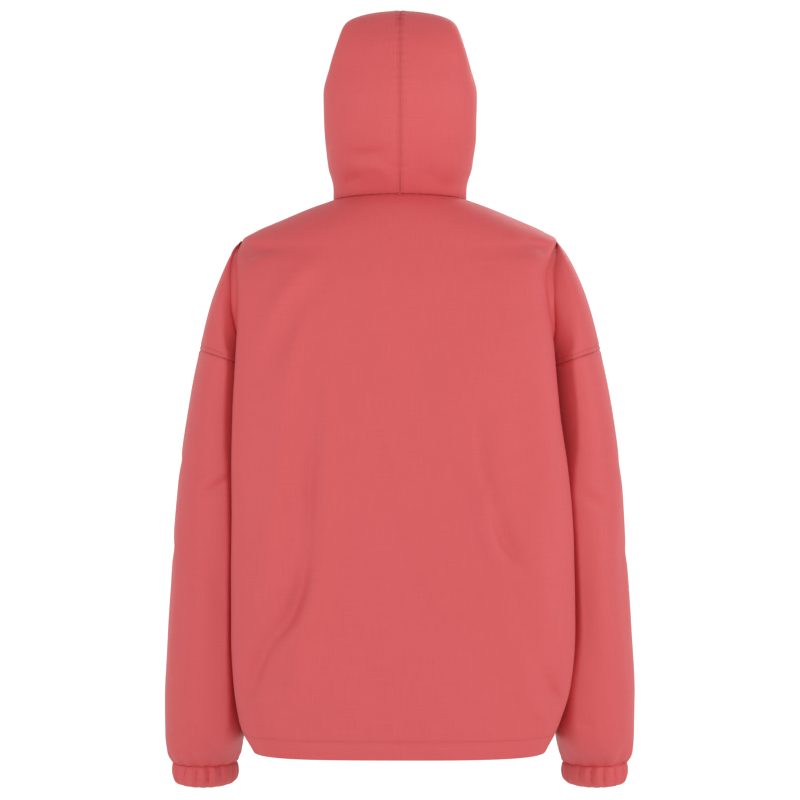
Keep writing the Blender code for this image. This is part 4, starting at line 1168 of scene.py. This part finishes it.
def facing_out(points, triangles):
    """The triangles turned so that the closed bodies they bound have a positive volume."""
    a, b, c = (points[triangles[:, i]] for i in range(3))
    return triangles if np.sum(a * np.cross(b, c)) > 0 else triangles[:, ::-1]


points, triangles, count = teeth()
pieces["zip_teeth"] = mesh_object("zip_teeth_row", points, facing_out(points, triangles))
print("teeth:", count, "of", len(triangles) // count, "triangles each")

# %% [markdown]
# ## Stitches
# A lockstitch shows as a row of short beads of thread, each sunk in the cloth at both ends. One
# bead is a small five-sided spindle; all of them are placed at once along the lines of sewing,
# on the creased cloth, which is found by asking for the nearest point of its surface.

# %% Thread along the topstitched lines
from mathutils import Vector
from mathutils.bvhtree import BVHTree

PITCH, BEAD, THREAD = 3.2, 2.5, 0.27  # of the stitches, in mm
FIRST_BEAD, SHORTEST_BEAD = 0.12, 1.2
BEAD_PLACES, BEAD_SIDES = np.array([0.0, 0.2, 0.8, 1.0]), 5
BEAD_LIFT = np.array([-0.25, 0.12, 0.12, -0.25])
BEAD_GIRTH = np.array([0.45, 1.0, 1.0, 0.45]) * THREAD
surface = BVHTree.FromPolygons(cloth.tolist(), faces.tolist())


def on_cloth(points):
    """The nearest points of the creased cloth, their normals, and the piece each lies on."""
    hits = [surface.find_nearest(Vector(p)) for p in points]
    place = np.array([tuple(hit[0]) for hit in hits])
    normal = np.array([tuple(hit[1]) for hit in hits])
    return place, normal, owner[np.array([hit[2] for hit in hits])]


def beads(start, end, normal):
    """Spindles from start to end: five-sided rings, sunk at the ends and proud in the middle."""
    way = end - start
    way /= np.linalg.norm(way, axis=1)[:, None]
    across = np.cross(way, normal)
    angle = np.linspace(0, 2 * np.pi, BEAD_SIDES + 1)[:-1]
    middle = start[:, None] + (end - start)[:, None] * BEAD_PLACES[None, :, None]
    middle = middle + normal[:, None] * BEAD_LIFT[None, :, None]
    wide = (BEAD_GIRTH[:, None] * np.cos(angle))[None, ..., None]
    high = (BEAD_GIRTH[:, None] * np.sin(angle))[None, ..., None]
    points = middle[:, :, None] + (across[:, None, None] * wide + normal[:, None, None] * high)
    triangles = tubes(len(start), len(BEAD_PLACES), BEAD_SIDES)
    return points.reshape(-1, 3), triangles.reshape(-1, 3)


starts, ends, ups, owners = [], [], [], []
for name, (line, depth, strength) in LINES.items():
    if "stitch" not in name:
        continue
    run = lengths(line)
    count = int(run[-1] / PITCH)
    at = (np.arange(count) + FIRST_BEAD) * PITCH
    first, up, whose = on_cloth(points_at(line, run, at))
    last, _, _ = on_cloth(points_at(line, run, at + BEAD))
    fine = np.linalg.norm(last - first, axis=1) > SHORTEST_BEAD
    starts.append(first[fine])
    ends.append(last[fine])
    ups.append(up[fine])
    owners.append(whose[fine])
starts, ends, ups, owners = (np.concatenate(v) for v in (starts, ends, ups, owners))
threads = {}
for name in sorted(set(owners)):
    mine = owners == name
    points, triangles = beads(starts[mine], ends[mine], ups[mine])
    threads[name] = mesh_object(name + "_stitches", points, facing_out(points, triangles))
print("stitches:", len(starts), "in", len(threads), "pieces")

# %% [markdown]
# ## A small language for materials
# Blender builds a material from nodes joined by links. Written out link by link that is hard to
# read, so one small class stands for a socket, and plain arithmetic between such values makes
# the Math nodes. Any other node is made with `node`: its type, its settings, its inputs. What
# several finishes need, such as a noise or a bump, has a short method of its own.

# %% Values of a material
class Value:
    """The output of a node. + - * and ** make Math nodes, and numbers may stand on either side."""

    def __init__(self, tree, socket=None):
        self.tree, self.socket = tree, socket

    def node(self, kind, settings=None, inputs=None, out=0):
        """Makes a node: sets its settings, then its inputs, which are numbers or other values."""
        made = self.tree.nodes.new(kind)
        for name, setting in (settings or {}).items():
            setattr(made, name, setting)
        for name, value in (inputs or {}).items():
            self.give(made.inputs[name], value)
        return Value(self.tree, made.outputs[out])

    def give(self, target, value):
        """Links a value to a socket, or sets the socket to a number, a vector or a colour."""
        if isinstance(value, Value):
            self.tree.links.new(value.socket, target)
        else:
            target.default_value = value

    def maths(self, operation, *values):
        """A Math node of values and numbers."""
        return self.node("ShaderNodeMath", {"operation": operation}, dict(enumerate(values)))

    def __add__(self, other):
        return self.maths("ADD", self, other)

    def __sub__(self, other):
        return self.maths("SUBTRACT", self, other)

    def __mul__(self, other):
        return self.maths("MULTIPLY", self, other)

    def __pow__(self, other):
        return self.maths("POWER", self, other)

    def __radd__(self, other):
        return self.maths("ADD", other, self)

    def __rsub__(self, other):
        return self.maths("SUBTRACT", other, self)

    def __rmul__(self, other):
        return self.maths("MULTIPLY", other, self)

    def sine(self):
        return self.maths("SINE", self)

    def clipped(self):
        """This value kept between 0 and 1."""
        return self.node("ShaderNodeClamp", {}, {"Value": self})

    def between(self, low, high):
        """A colour mixed from low to high by this value."""
        return self.node("ShaderNodeMix", {"data_type": "RGBA"}, {0: self, 6: low, 7: high}, out=2)

    def noise(self, place, scale, detail=2.0, rough=0.5, twist=0.0, kind="FBM"):
        """A noise of about 0 to 1 with scale lumps to a metre of the place."""
        inputs = {"Vector": place, "Scale": scale, "Detail": detail, "Roughness": rough, "Distortion": twist}
        return self.node("ShaderNodeTexNoise", {"noise_type": kind, "normalize": True}, inputs, out=0)

    def scaled(self, scale, rotation=(0.0, 0.0, 0.0)):
        """A place turned and stretched by a Mapping node."""
        return self.node("ShaderNodeMapping", {}, {"Vector": self, "Rotation": rotation, "Scale": scale})

    def bump(self, strength, distance):
        """A normal from this height: distance is what a height of 1 stands for, in metres."""
        inputs = {"Strength": strength, "Distance": distance, "Height": self}
        return self.node("ShaderNodeBump", {}, inputs)

    def place_on_object(self):
        """The place on the object, in metres."""
        return self.node("ShaderNodeTexCoord", out=3)

    def place_on_cloth(self):
        """The place on the flat cloth from its UV map: both measures at once, across and along."""
        flat = self.node("ShaderNodeUVMap", {"uv_map": "cloth"})
        split = self.node("ShaderNodeSeparateXYZ", {}, {0: flat})
        return flat, split, Value(self.tree, split.socket.node.outputs[1])


def new_material(name, slot_colour):
    """A material with its Principled shader, and a value to start its nodes from."""
    made = bpy.data.materials.new(name)
    made.use_nodes = True
    made.diffuse_color = slot_colour
    shader = made.node_tree.nodes["Principled BSDF"]
    return made, shader, Value(made.node_tree)


print("materials have", len([m for m in dir(Value) if not m.startswith("__")]), "helpers")

# %% [markdown]
# ## The cloth's finish
# The shell is a thin, matt, tightly woven cloth, dyed coral. It was washed and tumbled, so it is
# covered in fine soft crinkles a few millimetres wide, which matter more to its look than the
# weave, whose threads are under half a millimetre. Colour hardly varies: a little from place to
# place. Painted shade darkens it along the seams, the more the deeper their valley, and the
# doubled patch at the crown is drawn a little darker. A painted highlight makes the crests of the
# crinkles a little paler.

# %% Cloth
CORAL = (0.660, 0.083, 0.091, 1.0)
# The deeper coral that the painted seam shade and the darker crown patch mix in.
CORAL_SHADE_AND_PATCH = (0.515, 0.052, 0.060, 1.0)
CORAL_PALE = (0.710, 0.101, 0.110, 1.0)
THREADS_PER_M = 2 * np.pi * 2200.0
FINE_CRINKLES, BROAD_CRINKLES, RIDGES, SLUBS, CLOUDS = 150.0, 42.0, 60.0, 900.0, 7.0  # noise scales
YARN = 0.03  # a slub's width as a share of its length


def cloth_material(name, turn):
    """Crinkles from two noises, one stretched along a turned axis, and a plain weave.

    The weave is a product of sines, and uneven yarns show in it as slubs: noises stretched
    thirty times along the warp and along the weft. Painted shade along the seams, and the
    darker crown patch, mix in a deeper coral.
    """
    made, shader, value = new_material(name, CORAL)
    place = value.place_on_object()
    turned = place.scaled((1.0, 1.0, 0.45), (0.4, turn, 0.7))
    fine = value.noise(turned, FINE_CRINKLES, 3.0, 0.55, 0.6)
    broad = value.noise(place, BROAD_CRINKLES, 2.0, 0.5, 0.8)
    ridges = value.noise(turned, RIDGES, 2.0, 0.5, 0.3, kind="RIDGED_MULTIFRACTAL")
    flat, warp, weft = value.place_on_cloth()
    weave = (warp * THREADS_PER_M).sine() * (weft * THREADS_PER_M).sine()
    slubs = value.noise(flat.scaled((1.0, YARN, 1.0)), SLUBS, 2.0, 0.6)
    slubs = slubs + value.noise(flat.scaled((YARN, 1.0, 1.0)), SLUBS, 2.0, 0.6) - 1.0
    # The weights are heights in millimetres, because the bump below has a distance of one.
    height = fine * 0.30 + broad * 0.45 + ridges * 0.10 + weave * 0.012 + slubs * 0.10
    # Painted shade: the point attribute below darkens the seams' valleys, and the crown patch, towards a
    # deeper coral.
    seams = value.node("ShaderNodeAttribute", {"attribute_name": "shade_and_patch_tone"}, out=2)
    cloudy = value.noise(place, CLOUDS, 3.0, 0.6)
    # The colour wanders at random with the clouds and the slubs, and a painted highlight makes the crests of
    # the fine crinkles a little paler.
    mottle_and_crinkle_highlight = (cloudy * 0.5 + fine * 0.2 + slubs * 1.2 + 0.15).clipped().between(CORAL, CORAL_PALE)
    shade_and_patch_mix = ((1.0 - seams) * 3.0).clipped()
    value.give(shader.inputs["Base Color"], shade_and_patch_mix.between(mottle_and_crinkle_highlight, CORAL_SHADE_AND_PATCH))
    value.give(shader.inputs["Roughness"], fine * 0.15 + 0.48)
    value.give(shader.inputs["Normal"], height.bump(0.75, MM))
    shader.inputs["Specular IOR Level"].default_value = 0.45
    return made


TURNS = {  # of the crinkles of each piece, in radians
    "back_panel": 0.0, "front_panel": 0.5, "sleeve_left": 0.9, "sleeve_right": -0.9,
    "hood_left": 0.3, "hood_right": -0.3, "cuff_left": 1.4, "cuff_right": -1.4,
}
for name, turn in TURNS.items():
    pieces[name].data.materials.append(cloth_material(name + "_coral", turn))
print("cloth materials:", len(TURNS))

# %% [markdown]
# ## Tape, thread, teeth and metal
# The zip's tape has a herringbone too fine to see, so it gets close ribs. Teeth are moulded
# plastic in the cloth's colour, a little glossier. The slider is enamelled metal, and its enamel
# is thinner where it is rubbed.

# %% The small finishes
def ribbed(name, colour, ribs, depth):
    """A matt woven band: ribs from a sine of the length along it, a faint mottle, and painted shade in the
    ribs' hollows.
    """
    made, shader, value = new_material(name, colour)
    _, across, length = value.place_on_cloth()
    rib = (length * ribs + (across * ribs * 0.5).sine() * 1.5).sine()
    mottle = value.noise(value.place_on_object(), 300.0)
    # Darker colour for the random mottle and for the painted shade in the ribs' hollows.
    mottle_and_rib_shade = tuple(c * 0.82 for c in colour[:3]) + (1.0,)
    value.give(shader.inputs["Base Color"], (mottle * 0.6 + rib * 0.15 + 0.3).clipped().between(mottle_and_rib_shade, colour))
    value.give(shader.inputs["Normal"], rib.bump(0.6, depth))
    shader.inputs["Roughness"].default_value = 0.8
    return made


def speckled(name, colour, worn, roughness, metallic, coat):
    """A hard finish whose colour wanders to a worn one where a noise is high, with a faint grain."""
    made, shader, value = new_material(name, colour)
    place = value.place_on_object()
    wear = ((value.noise(place, 420.0, 3.0, 0.6) - 0.52) * 4.0).clipped()
    grain = value.noise(place, 1800.0, 2.0)
    value.give(shader.inputs["Base Color"], wear.between(colour, worn))
    value.give(shader.inputs["Roughness"], grain * 0.15 + (roughness - 0.07))
    value.give(shader.inputs["Normal"], grain.bump(0.3, 0.0001))
    shader.inputs["Metallic"].default_value = metallic
    shader.inputs["Coat Weight"].default_value = coat
    return made


tape_finish = ribbed("coral_tape", (0.57, 0.074, 0.082, 1.0), 2 * np.pi * 1100, 0.0001)
thread_finish = speckled("coral_thread", (0.63, 0.092, 0.100, 1.0), (0.58, 0.080, 0.087, 1.0), 0.6, 0.0, 0.0)
teeth_finish = speckled("coral_teeth", (0.55, 0.068, 0.076, 1.0), (0.59, 0.082, 0.090, 1.0), 0.38, 0.0, 0.1)
enamel = speckled("coral_enamel", (0.54, 0.066, 0.073, 1.0), (0.58, 0.088, 0.092, 1.0), 0.34, 0.35, 0.3)
for word in ("left", "right"):
    pieces[f"zip_tape_{word}"].data.materials.append(tape_finish)
pieces["zip_teeth"].data.materials.append(teeth_finish)
for piece in threads.values():
    piece.data.materials.append(thread_finish)
for name in ("zip_slider", "zip_pull_tab"):
    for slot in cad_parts[name].material_slots:
        slot.material = enamel
print("finishes:", [m.name for m in (tape_finish, thread_finish, teeth_finish, enamel)])

# %% [markdown]
# ## Riding
# Each piece moves with the garment's body, as do the stitches, and the plain solid it stands for
# is hidden. For each sheet of cloth the width and length of its flat pattern are printed, with the
# area of the uncreased skin.

# %% Bodies and sheets
def cut_area(name):
    """Square metres of one side of a piece before it is creased."""
    one, two, three = skin[faces[owner == name]].transpose(1, 0, 2)
    return 0.5 * MM**2 * np.linalg.norm(np.cross(two - one, three - one), axis=1).sum()


FLAT = {  # width and length of the flat pattern piece, in metres, and how it is held
    "back_panel": (0.84, 0.70, "hung"),
    "front_panel": (0.83, 0.64, "hung"),
    "sleeve_left": (0.46, 0.53, "gathered"),
    "sleeve_right": (0.46, 0.53, "gathered"),
    "hood_left": (0.28, 0.36, "hung"),
    "hood_right": (0.28, 0.36, "hung"),
    "cuff_left": (0.29, 0.027, "gathered"),
    "cuff_right": (0.29, 0.027, "gathered"),
    "zip_tape_left": (0.013, 0.25, "hung"),
    "zip_tape_right": (0.013, 0.25, "hung"),
}
HANGS_FROM = {
    "back_panel": "front_panel", "front_panel": "back_panel",
    "sleeve_left": "back_panel", "sleeve_right": "back_panel",
    "hood_left": "back_panel", "hood_right": "back_panel",
    "cuff_left": "sleeve_left", "cuff_right": "sleeve_right",
    "zip_tape_left": "front_panel", "zip_tape_right": "front_panel",
}
for name, piece in pieces.items():
    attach(piece, "garment")
    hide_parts(name)
for name, piece in threads.items():
    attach(piece, "garment")
for name, (width, length, held) in FLAT.items():
    with_pieces, rests_on = [threads[name]] if name in threads else [], [pieces[HANGS_FROM[name]]]
    area = cut_area(name) if name in CLOTH else None
    if area is not None:
        print(name, "flat", width, "x", length, "m, area", round(area, 4))
        area = min(area, width * length)

# %% [markdown]
# ## Light, floor and camera
# The pullover is shown evenly lit before white, as on a packshot. The surround is a dome whose
# brightness depends on the direction: even light from all round, a little less of it from above,
# a broad soft light behind the camera and a white wall beyond the pullover. Three large lamps add
# a little more, so that the folds turn from light to shade. The camera looks straight at the
# back from 2.45 m.

# %% Studio
AROUND, SOFT_LIGHT, WALL_LIGHT, DIM_ABOVE = 0.80, 0.50, 0.30, 0.30  # brightness of the dome's parts
SOFT_FROM = tuple(Vector((0.0, 0.98, -0.10)).normalized())
WALL_FROM, WALL_STEEP, LOBE_POWER = 0.62, 5.0, 3.0  # where the wall starts, and how fast both fade
world = bpy.data.worlds.new("studio_dome")
world.use_nodes = True
background = world.node_tree.nodes["Background"]
sky = Value(world.node_tree)
direction = sky.node("ShaderNodeTexCoord", out=0)


def facing(way):
    """How nearly a ray of the dome runs in a direction: the product of the two unit vectors."""
    return sky.node("ShaderNodeVectorMath", {"operation": "DOT_PRODUCT"}, {0: direction, 1: way}, out=1)


lobe = facing(SOFT_FROM).clipped() ** LOBE_POWER
white_wall = ((facing((0.0, -1.0, 0.0)) - WALL_FROM) * WALL_STEEP).clipped()
above = facing((0.0, 0.0, 1.0)).clipped()
brightness = lobe * SOFT_LIGHT + white_wall * WALL_LIGHT + AROUND - above * DIM_ABOVE
sky.give(background.inputs["Strength"], brightness)
background.inputs["Color"].default_value = (1.0, 1.0, 1.0, 1.0)
bpy.context.scene.world = world
bpy.context.scene.view_settings.view_transform = "Standard"
LAMPS = {  # place, watts and size in metres
    "lamp_left": ((2.3, 1.9, 0.0), 7.0, 1.4),
    "lamp_right": ((-2.6, 1.1, 0.2), 13.0, 0.8),
    "lamp_front": ((-1.4, -2.4, 1.4), 16.0, 1.4),
}
LAMPS_AIM = Vector((0.0, 0.0, -0.25))
for name, (place, watts, size) in LAMPS.items():
    light = bpy.data.lights.new(name, "AREA")
    light.energy, light.size = watts, size
    lamp = bpy.data.objects.new(name, light)
    lamp.location = place
    lamp.rotation_euler = (LAMPS_AIM - Vector(place)).to_track_quat("-Z", "Y").to_euler()
    bpy.context.collection.objects.link(lamp)

# %% Floor and camera
FLOOR, FLOOR_RADIUS, FLOOR_CORNERS = -1.05, 1.5, 96
turn = np.linspace(0, 2 * np.pi, FLOOR_CORNERS + 1)[:-1]
level = np.full(FLOOR_CORNERS, FLOOR)
rim = np.stack([FLOOR_RADIUS * np.cos(turn), FLOOR_RADIUS * np.sin(turn), level], axis=1)
floor_mesh = bpy.data.meshes.new("floor")
floor_mesh.from_pydata(rim.tolist(), [], [list(range(FLOOR_CORNERS))])
floor_piece = bpy.data.objects.new("floor", floor_mesh)
bpy.context.collection.objects.link(floor_piece)
paper, shader, value = new_material("pale_paper", (0.97, 0.97, 0.97, 1.0))
grain = value.noise(value.place_on_object(), 3.0)
shade, light = (0.965, 0.965, 0.965, 1.0), (0.985, 0.985, 0.985, 1.0)
value.give(shader.inputs["Base Color"], grain.between(shade, light))
shader.inputs["Roughness"].default_value = 0.95
floor_mesh.materials.append(paper)

SENSOR, FRAME, FOCAL = 36.0, 800, 2042  # the sensor in mm, then picture width and focal length in pixels
camera = bpy.data.cameras.new("camera")
camera.sensor_width, camera.lens = SENSOR, SENSOR * FOCAL / FRAME
eye = bpy.data.objects.new("camera", camera)
eye.location = (0.0, EYE_Y * MM, EYE_Z * MM)
eye.rotation_euler = (np.pi / 2, 0.0, np.pi)
bpy.context.collection.objects.link(eye)
bpy.context.scene.camera = eye
print("lamps:", len(LAMPS), "lens:", round(camera.lens, 1), "mm")

# %% [markdown]
# ## Size
# The dressed pullover has to stay the size of the imported one.
